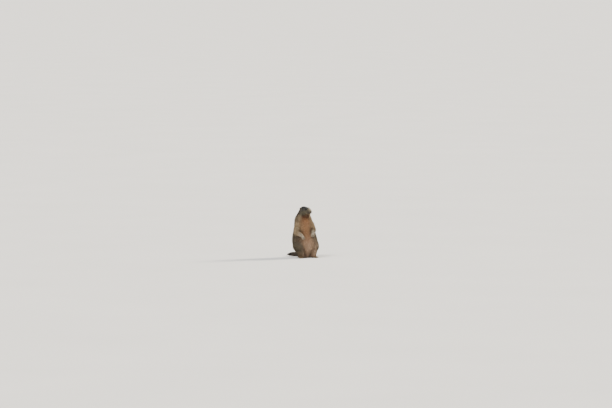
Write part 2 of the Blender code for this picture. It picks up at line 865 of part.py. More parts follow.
def make_eyes(head, head_place):
    """Eyeballs in sockets, each ringed by its lids."""
    eyes = []
    tree = surface_of(head)
    up = head_place.to_3x3() @ Vector((0, -0.25, 1))
    for side, sign in (("left", 1), ("right", -1)):
        centre, outward = eye_place(tree, head_place, sign)
        turn = facing(outward, up)
        lid_at = centre + outward * (EYE_RADIUS * LID_AHEAD * CM)
        lids = ring("lids", Matrix.Translation(lid_at) @ turn, *LID_RING, LID_SHAPE)
        carve(head, lids, "UNION")
        drop(lids)
        place = Matrix.Translation(centre) @ turn
        socket = ball("socket", EYE_RADIUS * CM + GAP, place)
        carve(head, socket)
        drop(socket)
        eyes.append(ball(f"eye_{side}", EYE_RADIUS * CM, place))
    return eyes


def make_nose(head, head_place):
    """The bare nose pad with its nostrils, set into the tip of the muzzle."""
    tree = surface_of(head)
    start = head_place @ cm(0, -FAR_OUT, NOSE_HEIGHT)
    tip, _ = hit(tree, start, head_place.to_3x3() @ Vector((0, 1, 0)))
    at = head_place.inverted() @ tip
    centre = Vector((at.x, at.y + 0.2 * CM, at.z)) / CM
    pad = balls("nose", [Mass(tuple(centre), NOSE_SIZE)], head_place, subdivisions=2)
    wider = grown([Mass(tuple(centre), NOSE_SIZE)], GAP / CM)
    socket = balls("socket", wider, head_place, subdivisions=2)
    carve(head, socket)
    drop(socket)
    for sign in (1, -1):
        at = tuple(centre + sided(NOSTRIL_PLACE, sign))
        hole = Mass(at, NOSTRIL_SIZE, (0, 0, sign * NOSTRIL_ROLL))
        nostril = balls("nostril", [hole], head_place, subdivisions=2)
        carve(pad, nostril)
        drop(nostril)
    return largest_body(pad), centre


def lip_height(angle):
    """Height of the line of the mouth at an angle round the muzzle from its front."""
    return MOUTH_HEIGHT - MOUTH_DROOP * (1 - math.cos(2.4 * angle))


def carve_mouth(head, head_place, nose_centre):
    """The line of the lips round the muzzle, and the cleft from the nose down to it."""
    tree = surface_of(head)
    turn = head_place.to_3x3()
    line = []
    steps = 14
    for step in range(steps + 1):
        angle = MOUTH_REACH * (2 * step / steps - 1)
        out = Vector((math.sin(angle), -math.cos(angle), 0))
        start = head_place @ ((Vector((*MOUTH_BACK, lip_height(angle))) + out * FAR_OUT) * CM)
        place, _ = hit(tree, start, -(turn @ out))
        line.append(place)
    radii = [MOUTH_GROOVE * CM * (0.6 if n in (0, steps) else 1.0) for n in range(steps + 1)]
    groove = tube("groove", line, radii)
    carve(head, groove)
    drop(groove)
    cleft = []
    top = nose_centre.z - NOSE_SIZE[2] * 0.8
    for step in range(4):
        height = top + (lip_height(0.0) - top) * step / 3
        start = head_place @ cm(0, -FAR_OUT, height)
        place, _ = hit(tree, start, turn @ Vector((0, 1, 0)))
        cleft.append(place)
    groove = tube("cleft", cleft, [MOUTH_GROOVE * 0.7 * CM] * len(cleft))
    carve(head, groove)
    drop(groove)
    return largest_body(head)


def make_ears(head, head_place):
    """Small round cupped ears, low at the back of the head."""
    ears = []
    turn = head_place.to_3x3()
    tree = surface_of(head)
    wider = swollen(head, GAP)
    for side, sign in (("left", 1), ("right", -1)):
        out = sided(EAR_WAY, sign).normalized()
        start = head_place @ ((Vector(EAR_AIM) + out * FAR_OUT) * CM)
        root, _ = hit(tree, start, -(turn @ out))
        stance = facing(turn @ sided(EAR_FACE, sign), turn @ sided(EAR_UP, sign))
        width, thick, height = EAR_SIZE
        at = Matrix.Translation(root + (turn @ out) * (0.2 * CM)) @ stance
        ear = balls(f"ear_{side}", [Mass((0, 0, 0), (width, height, thick))], at)
        wide, tall, deep = EAR_CUP
        hollow = Mass(EAR_CUP_PLACE, (width * wide, height * tall, thick * deep))
        cup = balls("cup", [hollow], at)
        carve(ear, cup)
        drop(cup)
        thinned(ear, EAR_TRIANGLES)
        carve(ear, wider)
        ears.append(largest_body(ear))
    drop(wider)
    return ears


def centre_on_origin(nodes):
    """Moves every node so that the middle of the footprint's box is the origin."""
    corners = [obj.matrix_world @ Vector(c) for obj in nodes for c in obj.bound_box]
    middle_x = (min(c.x for c in corners) + max(c.x for c in corners)) / 2
    middle_y = (min(c.y for c in corners) + max(c.y for c in corners)) / 2
    shift = Matrix.Translation((-middle_x, -middle_y, 0))
    for obj in nodes:
        obj.data.transform(shift)


def main():
    for obj in list(bpy.data.objects):
        bpy.data.objects.remove(obj)
    head_place = head_matrix()
    head = make_head(head_place)
    body = make_body(head_place)
    whole = swollen(body, GAP)

    feet, hind_claws = [], []
    for side, sign in (("left", 1), ("right", -1)):
        foot, claws = make_foot(side, sign)
        hind_claws += fit_claws(foot, claws)
        feet.append(foot)
    for side, sign in (("left", 1), ("right", -1)):
        around = balls("foot_region", foot_masses(sign), foot_frame(sign))
        blended(around, PAW_VOXEL * 1.1, 4, FOOT_TRIANGLES)
        wider = swollen(around, GAP * 1.5)
        carve(body, wider)
        drop(around, wider)

    forepaws, fore_claws = [], []
    for arm, side, sign in ((LEFT_ARM, "left", 1), (RIGHT_ARM, "right", -1)):
        paw, claws = make_forepaw(arm, side, sign)
        fore_claws += fit_claws(paw, claws)
        forepaws.append(paw)

    arms = []
    for arm, side in ((LEFT_ARM, "left"), (RIGHT_ARM, "right")):
        arms += cut_arm(body, arm, side)
    neck = cut_neck(body)
    legs = []
    for side, sign in (("left", 1), ("right", -1)):
        masses = grown(mirrored(HIND_LEG_PAIRS, sign), LEG_REGION_GROWTH)
        region = blended(balls("leg_region", masses), REGION_VOXEL, 8, LEG_CUT_TRIANGLES)
        legs.append(part_off(body, region, f"hind_leg_{side}"))
        drop(region)
    torso = largest_body(body)
    torso.name = "torso"

    tail = make_tail()
    carve(tail, whole)
    drop(whole)
    largest_body(tail)

    eyes = make_eyes(head, head_place)
    nose, nose_centre = make_nose(head, head_place)
    carve_mouth(head, head_place, nose_centre)
    ears = make_ears(head, head_place)

    floor_up = Vector((0, 0, 1))
    for obj in [torso, tail, *legs]:
        keep_above(obj, Vector((0, 0, 0)), floor_up)
        largest_body(obj)

    finishes = {
        "crown": [head, *ears],
        "coat": [neck, *arms, *legs],
        "belly": [torso],
        "foot": [*feet, *forepaws],
        "tail": [tail],
        "eye": eyes,
        "nose": [nose],
        "claw": fore_claws + hind_claws,
    }
    marmot = bpy.data.collections.new("alpine_marmot")
    bpy.context.scene.collection.children.link(marmot)
    nodes = []
    for colour, objects in finishes.items():
        for obj in objects:
            paint(obj, colour)
            bpy.context.scene.collection.objects.unlink(obj)
            marmot.objects.link(obj)
            nodes.append(obj)
    bpy.context.view_layer.update()
    centre_on_origin(nodes)


main()
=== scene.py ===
"""The looks of an alpine marmot that sits upright: one skin, and a coat of fine tufts over it.

Places are metres in the frame's axes: +Z up, the body faces -Y, and its left side is at +X. The
body's own axes point the same way from the floor under it, and the head's from its centre. Sizes
in these two are centimetres.
"""

import logging
import math
from collections.abc import Callable, Iterable, Sequence
from dataclasses import dataclass, field
from enum import Enum

import bmesh
import bpy
import numpy as np
from mathutils import Matrix, Vector
from mathutils.bvhtree import BVHTree
from mathutils.kdtree import KDTree


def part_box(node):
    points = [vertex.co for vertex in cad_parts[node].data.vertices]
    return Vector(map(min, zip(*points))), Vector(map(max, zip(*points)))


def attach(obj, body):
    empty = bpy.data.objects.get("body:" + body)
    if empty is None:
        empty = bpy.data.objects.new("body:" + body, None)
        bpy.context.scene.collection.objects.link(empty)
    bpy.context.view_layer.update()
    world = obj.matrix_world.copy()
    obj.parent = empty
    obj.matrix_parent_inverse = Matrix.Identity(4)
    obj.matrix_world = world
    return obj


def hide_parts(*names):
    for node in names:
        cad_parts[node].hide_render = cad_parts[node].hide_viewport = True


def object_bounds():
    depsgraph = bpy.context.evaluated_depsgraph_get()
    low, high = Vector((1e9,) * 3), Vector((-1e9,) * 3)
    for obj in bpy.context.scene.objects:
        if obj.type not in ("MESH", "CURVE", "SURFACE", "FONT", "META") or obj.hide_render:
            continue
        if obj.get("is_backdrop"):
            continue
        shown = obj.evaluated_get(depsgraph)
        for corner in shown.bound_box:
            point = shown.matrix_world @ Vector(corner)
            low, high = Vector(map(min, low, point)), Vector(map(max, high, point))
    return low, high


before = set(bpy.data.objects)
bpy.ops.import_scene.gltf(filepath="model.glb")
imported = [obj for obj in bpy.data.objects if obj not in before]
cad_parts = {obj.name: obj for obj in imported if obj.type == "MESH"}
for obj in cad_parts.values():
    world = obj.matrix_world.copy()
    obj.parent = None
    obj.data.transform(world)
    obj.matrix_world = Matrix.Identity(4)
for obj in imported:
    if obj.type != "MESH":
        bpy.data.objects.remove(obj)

LOG = logging.getLogger("marmot")
CAD_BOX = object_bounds()

CM = 0.01
MM = 0.001
WELD = 0.001 * MM
FLOOR = 0.4 * MM
# The body's own axis stands this far in front of the middle of its back.
BACK_REACH = 11.72 * CM
AXIS_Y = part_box("torso")[1].y - BACK_REACH
SIDES = {"left": 1.0, "right": -1.0}

# The head's centre in the body's axes, with its turn to the left and its nod.
HEAD_CENTRE = (0.4, 3.6, 41.6)
HEAD_TURN = math.radians(40)
HEAD_NOD = math.radians(1)
TOE_OUT = math.radians(9)

# The tail's bony core in the body's axes, with its radii and how flat it is.
TAIL_PATH = ((0.0, 7.5, 4.6), (-0.6, 11.2, 2.7), (-2.8, 14.6, 2.0), (-5.6, 17.4, 1.9), (-7.8, 19.4, 1.6))
TAIL_RADII = (2.0, 1.75, 1.6, 1.3, 0.7)
TAIL_FLAT = 0.82

Array = np.ndarray
Triple = tuple[float, float, float]
Socket = bpy.types.NodeSocket


def unit(rows: Array) -> Array:
    """Rows scaled to a length of one."""
    return rows / np.maximum(np.linalg.norm(rows, axis=-1, keepdims=True), 1e-12)


def ease(low: float, high: float, values: Array) -> Array:
    """A smooth step from 0 at low to 1 at high."""
    share = np.clip((values - low) / (high - low), 0.0, 1.0)
    return share * share * (3 - 2 * share)


def bell(distance: Array, width: float) -> Array:
    """1 at no distance, falling softly over the width."""
    return np.exp(-((distance / width) ** 2))


def mix(first: Array, second: Array, share: Array) -> Array:
    """Blends two sets of values or rows.

    Args:
        first: The values or rows where the share is 0.
        second: The values or rows where it is 1, or one for all.
        share: The share of each.

    Returns:
        The blended values or rows.
    """
    share = np.asarray(share, float)
    if np.ndim(first) == 2:
        share = share[:, None]
    return first * (1 - share) + second * share


def mottle(points: Array, scale: float, seed: int) -> Array:
    """Smooth noise, mostly from -1 to 1, as a sum of waves in seeded directions.

    Args:
        points: Places in metres, one a row.
        scale: The usual length of a wave in metres.
        seed: Seed of the draw.

    Returns:
        One value for each point.
    """
    waves = 9
    rng = np.random.default_rng(seed)
    total = np.zeros(len(points))
    for _ in range(waves):
        # The waves differ in length, so that the pattern doesn't repeat.
        way = unit(rng.normal(size=3)) * (2 * math.pi / scale) * rng.uniform(0.6, 1.7)
        total += np.sin(points @ way + rng.uniform(0, 2 * math.pi))
    return total / math.sqrt(waves)


def segment_distance(points: Array, start: Array, end: Array) -> Array:
    """Measures how far points are from a straight stretch.

    Args:
        points: Places, one a row.
        start: One end of the stretch.
        end: The other end.

    Returns:
        The distance of each point.
    """
    line = end - start
    share = np.clip((points - start) @ line / (line @ line), 0, 1)
    return np.linalg.norm(points - start - share[:, None] * line, axis=1)


def line_distance(points: Array, line: Array) -> Array:
    """Distance of each point from a bent line."""
    return np.min([segment_distance(points, *ends) for ends in zip(line, line[1:])], axis=0)


def in_body(point: Sequence[float]) -> Vector:
    """A place in the body's axes as a place in the frame."""
    return Vector((point[0] * CM, point[1] * CM + AXIS_Y, point[2] * CM))


def way_from_body(azimuth: float, height: float) -> Vector:
    """The way from the body at an azimuth, 0 in front and growing to its left, and a height."""
    flat = math.cos(height)
    return Vector((math.sin(azimuth) * flat, -math.cos(azimuth) * flat, math.sin(height)))


def middle(node: str) -> Vector:
    """The middle of a solid's box."""
    low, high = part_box(node)
    return (low + high) / 2


def half_width(node: str) -> float:
    """Half of the longest side of a solid's box."""
    low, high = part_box(node)
    return max(high - low) / 2


def eye_gap(side: str, points: Array) -> Array:
    """Distance of each point from an eyeball."""
    return np.linalg.norm(points - np.array(middle(f"eye_{side}")), axis=1) - half_width("eye_left")


def in_front(head: Array, back: float, low: float) -> Array:
    """Whether each place of the head's axes lies further forward than back, and above low."""
    return (head[:, 1] < back) & (head[:, 2] > low)


def claw_nodes() -> list[tuple[str, str]]:
    """Lists the claws.

    Returns:
        Each claw's node and the paw that it grows from.
    """
    kinds = (("fore", "forepaw", 4), ("hind", "hind_foot", 5))
    return [
        (f"claw_{kind}_{side}_{number}", f"{paw}_{side}")
        for kind, paw, count in kinds
        for side in SIDES
        for number in range(1, count + 1)
    ]


class Tint(Enum):
    """Colours of the coat, as they look in daylight, from 0 to 255."""

    CROWN = (69, 69, 68)
    NAPE = (66, 62, 58)
    BROW = (104, 98, 90)
    CHEEK = (104, 97, 80)
    SNOUT = (166, 154, 134)
    # Partly the muzzle's own colour, partly painted shade round the mouth.
    PAD = (91, 82, 71)
    CHIN = (150, 132, 104)
    # Dark rust-brown: partly the throat's own colour, partly painted shadow under the chin.
    THROAT = (84, 46, 24)
    COLLAR = (182, 161, 132)
    CHEST = (196, 146, 106)
    BELLY = (200, 168, 142)
    FLANK = (126, 117, 100)
    BACK = (112, 99, 83)
    SHOULDER = (174, 150, 118)
    MANTLE = (206, 188, 158)
    FOREARM = (178, 156, 128)
    PAW = (183, 171, 153)
    HAUNCH = (101, 92, 75)
    SHIN = (151, 130, 107)
    FOOT = (160, 132, 98)
    TAIL = (84, 74, 63)
    TAIL_TIP = (34, 31, 30)
    EAR = (108, 98, 86)

    @property
    def linear(self) -> Array:
        """The colour as linear light."""
        value = np.array(self.value, float) / 255
        return np.where(value <= 0.04045, value / 12.92, ((value + 0.055) / 1.055) ** 2.4)

    def over(self, under: Array, share: Array) -> Array:
        """This colour laid over rows of colours by a share for each."""
        return mix(under, self.linear, share)


@dataclass(frozen=True)
class HeadFrame:
    """The head's axes: its centre at 0 and the nose towards -Y, in centimetres."""

    centre: Vector
    turn: Matrix

    def local(self, points: Array) -> Array:
        """Places in the head's axes."""
        return (points - np.array(self.centre)) @ np.array(self.turn) / CM

    def world(self, point: Sequence[float]) -> Vector:
        """A place of the head's axes in the frame."""
        return self.centre + self.turn @ (Vector(point) * CM)

    def way(self, direction: Sequence[float]) -> Vector:
        """A direction of the head's axes in the frame."""
        return (self.turn @ Vector(direction)).normalized()


HEAD = HeadFrame(
    in_body(HEAD_CENTRE), Matrix.Rotation(HEAD_TURN, 3, "Z") @ Matrix.Rotation(HEAD_NOD, 3, "X")
)


@dataclass(frozen=True)
class Arm:
    """The bends of one arm in the body's axes."""

    side: str
    shoulder: Triple
    elbow: Triple
    wrist: Triple
    tip: Triple

    def bends(self) -> list[Array]:
        """Shoulder, elbow, wrist and tip in the frame."""
        return [np.array(in_body(bend)) for bend in (self.shoulder, self.elbow, self.wrist, self.tip)]

    def beside(self, points: Array) -> Array:
        """Whether each point lies on the arm's side of the body."""
        return (points[:, 0] > 0) == (self.side == "left")


LEFT_ARM = Arm("left", (5.8, 1.9, 29.4), (7.5, -0.9, 24.6), (4.3, -8.7, 22.8), (3.1, -10.3, 19.4))
RIGHT_ARM = Arm("right", (-6.2, 1.9, 29.4), (-8.9, -1.0, 22.7), (-6.7, -8.5, 20.5), (-4.8, -10.1, 17.1))
ARMS = (LEFT_ARM, RIGHT_ARM)


def settle(obj: bpy.types.Object) -> None:
    """Replaces the mesh with the evaluated one, so that no modifier is left.

    Args:
        obj: The object with its modifiers.
    """
    graph = bpy.context.evaluated_depsgraph_get()
    mesh = bpy.data.meshes.new_from_object(obj.evaluated_get(graph))
    obj.modifiers.clear()
    obj.data = mesh


def new_object(name: str, data: bpy.types.ID) -> bpy.types.Object:
    """Adds an object to the scene.

    Args:
        name: Its name.
        data: Its mesh, lamp or camera.

    Returns:
        The object.
    """
    obj = bpy.data.objects.new(name, data)
    bpy.context.scene.collection.objects.link(obj)
    return obj


def merged_copy(node: str, swell: float) -> bmesh.types.BMesh:
    """Copies a solid's mesh, with its corners merged.

    Args:
        node: The solid's node.
        swell: How far the copy is moved outwards, in metres.

    Returns:
        The copy.
    """
    shape = bmesh.new()
    shape.from_mesh(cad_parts[node].data)
    bmesh.ops.remove_doubles(shape, verts=shape.verts, dist=WELD)
    shape.normal_update()
    for vertex in shape.verts:
        vertex.co += vertex.normal * swell
    return shape


def mesh_from(name: str, points: Array, triangles: Array) -> bpy.types.Mesh:
    """Makes a smooth mesh.

    Args:
        name: Its name.
        points: Its places, one a row.
        triangles: Rows of three corner numbers.

    Returns:
        The mesh.
    """
    mesh = bpy.data.meshes.new(name)
    mesh.vertices.add(len(points))
    mesh.vertices.foreach_set("co", np.ascontiguousarray(points, np.float32).ravel())
    mesh.loops.add(triangles.size)
    mesh.loops.foreach_set("vertex_index", np.ascontiguousarray(triangles, np.int32).ravel())
    mesh.polygons.add(len(triangles))
    mesh.polygons.foreach_set("loop_start", np.arange(0, triangles.size, 3, dtype=np.int32))
    mesh.update(calc_edges=True)
    mesh.shade_smooth()
    return mesh


def write_value(mesh: bpy.types.Mesh, name: str, values: Array) -> None:
    """Stores a number for each vertex."""
    attribute = mesh.attributes.new(name, "FLOAT", "POINT")
    attribute.data.foreach_set("value", np.ascontiguousarray(values, np.float32))


def write_colour(mesh: bpy.types.Mesh, name: str, values: Array) -> None:
    """Stores a colour for each vertex.

    Args:
        mesh: The mesh.
        name: The attribute's name.
        values: Rows of linear red, green and blue.
    """
    rows = np.ones((len(values), 4), np.float32)
    rows[:, :3] = values
    mesh.attributes.new(name, "FLOAT_COLOR", "POINT").data.foreach_set("color", rows.ravel())


def read_back(items: bpy.types.bpy_prop_collection, name: str, kind: type) -> Array:
    """Reads a property of three numbers of every item.

    Args:
        items: The items, such as a mesh's vertices.
        name: The property's name.
        kind: The kind of its numbers.

    Returns:
        One row for each item.
    """
    rows = np.empty(len(items) * 3, kind)
    items.foreach_get(name, rows)
    return rows.reshape(-1, 3)


class Surface:
    """A triangle mesh as arrays, with what the coat needs to know of it."""

    def __init__(self, mesh: bpy.types.Mesh) -> None:
        """Reads points, triangles and edges.

        Args:
            mesh: The mesh.
        """
        mesh.calc_loop_triangles()
        self.points = read_back(mesh.vertices, "co", np.float32).astype(float)
        self.triangles = read_back(mesh.loop_triangles, "vertices", np.int32)
        pairs = np.concatenate([self.triangles[:, [a, b]] for a, b in ((0, 1), (1, 2), (2, 0))])
        self.edges = np.unique(np.sort(pairs), axis=0)
        self.degree = np.bincount(self.edges.ravel(), minlength=len(self.points)).astype(float)

    def spread(self, values: Array, rounds: int, share: float | Array = 0.5) -> Array:
        """Values of the vertices, evened out with their neighbours'.

        Args:
            values: One row for each vertex.
            rounds: How often they are evened out.
            share: How far each goes towards its neighbours' mean, for all or for each vertex.

        Returns:
            The new rows.
        """
        first, second = self.edges.T
        count = len(self.points)
        flat = values.reshape(count, -1).astype(float)
        for _ in range(rounds):
            for column in range(flat.shape[1]):
                row = flat[:, column]
                total = np.bincount(first, row[second], count) + np.bincount(second, row[first], count)
                flat[:, column] = row + share * (total / np.maximum(self.degree, 1) - row)
        return flat.reshape(values.shape)

    def smooth(self, rounds: int) -> None:
        """Softens the form and keeps its volume, by turns loosening and tightening it.

        Args:
            rounds: How often this is done.
        """
        for _ in range(rounds):
            for share in (0.5, -0.53):
                self.points = self.spread(self.points, 1, share)

    def face_ways(self) -> Array:
        """Outward way of every triangle, twice as long as its area."""
        a, b, c = (self.points[self.triangles[:, corner]] for corner in range(3))
        return np.cross(b - a, c - a)

    def areas(self) -> Array:
        """Area of every triangle."""
        return np.linalg.norm(self.face_ways(), axis=1) / 2

    def normals(self) -> Array:
        """Finds the outward direction at every vertex.

        Returns:
            Rows with a length of one.
        """
        faces, total = self.face_ways(), np.zeros_like(self.points)
        for corner in range(3):
            for axis in range(3):
                total[:, axis] += np.bincount(self.triangles[:, corner], faces[:, axis], len(self.points))
        return unit(total)

    def tree(self) -> BVHTree:
        """A tree for rays and nearest places."""
        return BVHTree.FromPolygons(self.points.tolist(), self.triangles.tolist())


@dataclass(frozen=True)
class Pelt:
    """The coat of one part: how deep the skin lies, and its tufts, in millimetres.

    The crowd is how densely they stand, and the tipping how dark their tips are, both as shares.
    """

    depth: float
    length: float
    width: float
    crowd: float = 1.0
    tipping: float = 0.0

    def sizes(self) -> Triple:
        """Depth, length and width."""
        return self.depth, self.length, self.width


PELTS: dict[str, Pelt] = {
    "head": Pelt(4.0, 11.0, 0.5, 1.0, 0.3),
    "ear": Pelt(0.25, 4.5, 0.4, 1.3, 0.0),
    "neck": Pelt(8.0, 22.0, 0.8, 1.0, 0.3),
    "torso": Pelt(9.0, 28.0, 0.95, 1.0, 0.35),
    "upper_arm": Pelt(6.5, 20.0, 0.8, 1.0, 0.12),
    "forearm": Pelt(4.2, 13.0, 0.7, 1.3, 0.08),
    "forepaw": Pelt(0.7, 4.0, 0.46, 1.0, 0.0),
    "hind_leg": Pelt(8.0, 25.0, 0.9, 1.0, 0.35),
    "hind_foot": Pelt(0.8, 4.6, 0.5, 1.0, 0.0),
    "tail": Pelt(0.0, 36.0, 1.25, 1.0, 0.75),
}
MUZZLE_PELT = Pelt(1.5, 4.2, 0.42)
EYE_PELT = Pelt(0.6, 2.6, 0.32)
# The nose's edge has this depth and length.
NOSE_PELT = (0.5, 2.4)
PAWS = ("forepaw", "hind_foot")
PAIRED = ("ear", "upper_arm", "forearm", "forepaw", "hind_leg", "hind_foot")
FLESH = ("head", "neck", "torso") + tuple(f"{part}_{side}" for part in PAIRED for side in SIDES)


@dataclass
class TailCore:
    """The core of the tail as a chain of flattened balls."""

    steps: int = 6

    def line(self) -> tuple[Array, Array]:
        """Follows the tail's smooth curve.

        Returns:
            Places along it and the core's radius at each, in metres.
        """
        path = np.array([in_body(point) for point in TAIL_PATH])
        radii = np.array(TAIL_RADII) * CM
        ends = np.vstack([2 * path[0] - path[1], path, 2 * path[-1] - path[-2]])
        places, sizes = [], []
        for number in range(len(path) - 1):
            a, b, c, d = ends[number : number + 4]
            for step in range(self.steps):
                t = step / self.steps
                turn = (c - a) * t + (2 * a - 5 * b + 4 * c - d) * t**2 + (3 * b - a - 3 * c + d) * t**3
                places.append(0.5 * (2 * b + turn))
                sizes.append(radii[number] * (1 - t) + radii[number + 1] * t)
        return np.array([*places, path[-1]]), np.array([*sizes, radii[-1]])

    def add_to(self, shape: bmesh.types.BMesh) -> None:
        """Adds the core's balls.

        Args:
            shape: The bmesh that takes them.
        """
        for place, size in zip(*self.line()):
            where = Matrix.Translation(Vector(place)) @ Matrix.Diagonal((size, size, size * TAIL_FLAT, 1.0))
            bmesh.ops.create_icosphere(shape, subdivisions=3, radius=1.0, matrix=where)

    def nearest(self, points: Array) -> tuple[Array, Array]:
        """Finds the place of the core that is nearest to each point.

        Args:
            points: Places in metres, one a row.

        Returns:
            The core's direction there, and the share along it.
        """
        places, _ = self.line()
        index = np.argmin(np.linalg.norm(points[:, None, :] - places[None], axis=2), axis=1)
        return unit(np.gradient(places, axis=0))[index], index / (len(places) - 1)


@dataclass
class Mouth:
    """The line of the lips round the muzzle, and the cleft from them to the nose."""

    # The line's height, how far it droops at its ends, and where the rays that find it start, all in
    # the head's axes.
    height: float = -1.85
    droop: float = 0.24
    bend: float = 2.4
    reach: float = math.radians(48)
    back: float = -4.0
    front: float = -12.0
    out: float = 7.0
    steps: int = 48
    cleft_steps: int = 12
    cleft_top: float = 0.2
    groove: float = 1.5 * MM
    groove_width: float = 0.7 * MM
    # The cleft's share of the groove's depth, and how much less bare skin it has beside it.
    cleft_depth: float = 0.7
    cleft_bare: float = 2.2
    lip: float = 0.6 * MM
    lip_place: float = 1.9 * MM
    lip_width: float = 1.1 * MM

    def level(self, angle: float) -> float:
        """Height of the line at an angle round the muzzle from its front."""
        return self.height - self.droop * (1 - math.cos(self.bend * angle))

    def lips(self) -> Iterable[tuple[Vector, Vector]]:
        """Finds rays from outside that meet the head along the lips.

        Yields:
            The start and way of each.
        """
        for step in range(self.steps + 1):
            angle = self.reach * (2 * step / self.steps - 1)
            out = Vector((math.sin(angle), -math.cos(angle), 0.0))
            yield HEAD.world(Vector((0, self.back, self.level(angle))) + out * self.out), -HEAD.way(out)

    def cleft(self) -> Iterable[tuple[Vector, Vector]]:
        """Finds rays from in front that meet the head from the nose down to the lips.

        Yields:
            The start and way of each.
        """
        top = HEAD.local(np.array([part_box("nose")[0]]))[0][2] + self.cleft_top
        for height in np.linspace(top, self.level(0.0), self.cleft_steps):
            yield HEAD.world((0, self.front, height)), HEAD.way((0, 1, 0))

    def push(self, points: Array, tree: BVHTree) -> tuple[Array, Array]:
        """How far the mouth moves points of the muzzle.

        Args:
            points: Places on the muzzle's skin.
            tree: The skin.

        Returns:
            The move outwards in metres, and the distance from the mouth's lines.
        """
        lines = []
        for rays in (self.lips(), self.cleft()):
            hits = [tree.ray_cast(*ray)[0] for ray in rays]
            lines.append(np.array([place for place in hits if place is not None]))
        gap, cleft_gap = (line_distance(points, line) for line in lines)
        push = self.lip * bell(gap - self.lip_place, self.lip_width)
        push -= self.groove * bell(gap, self.groove_width)
        push -= self.cleft_depth * self.groove * bell(cleft_gap, self.groove_width)
        return push, np.minimum(gap, cleft_gap * self.cleft_bare)


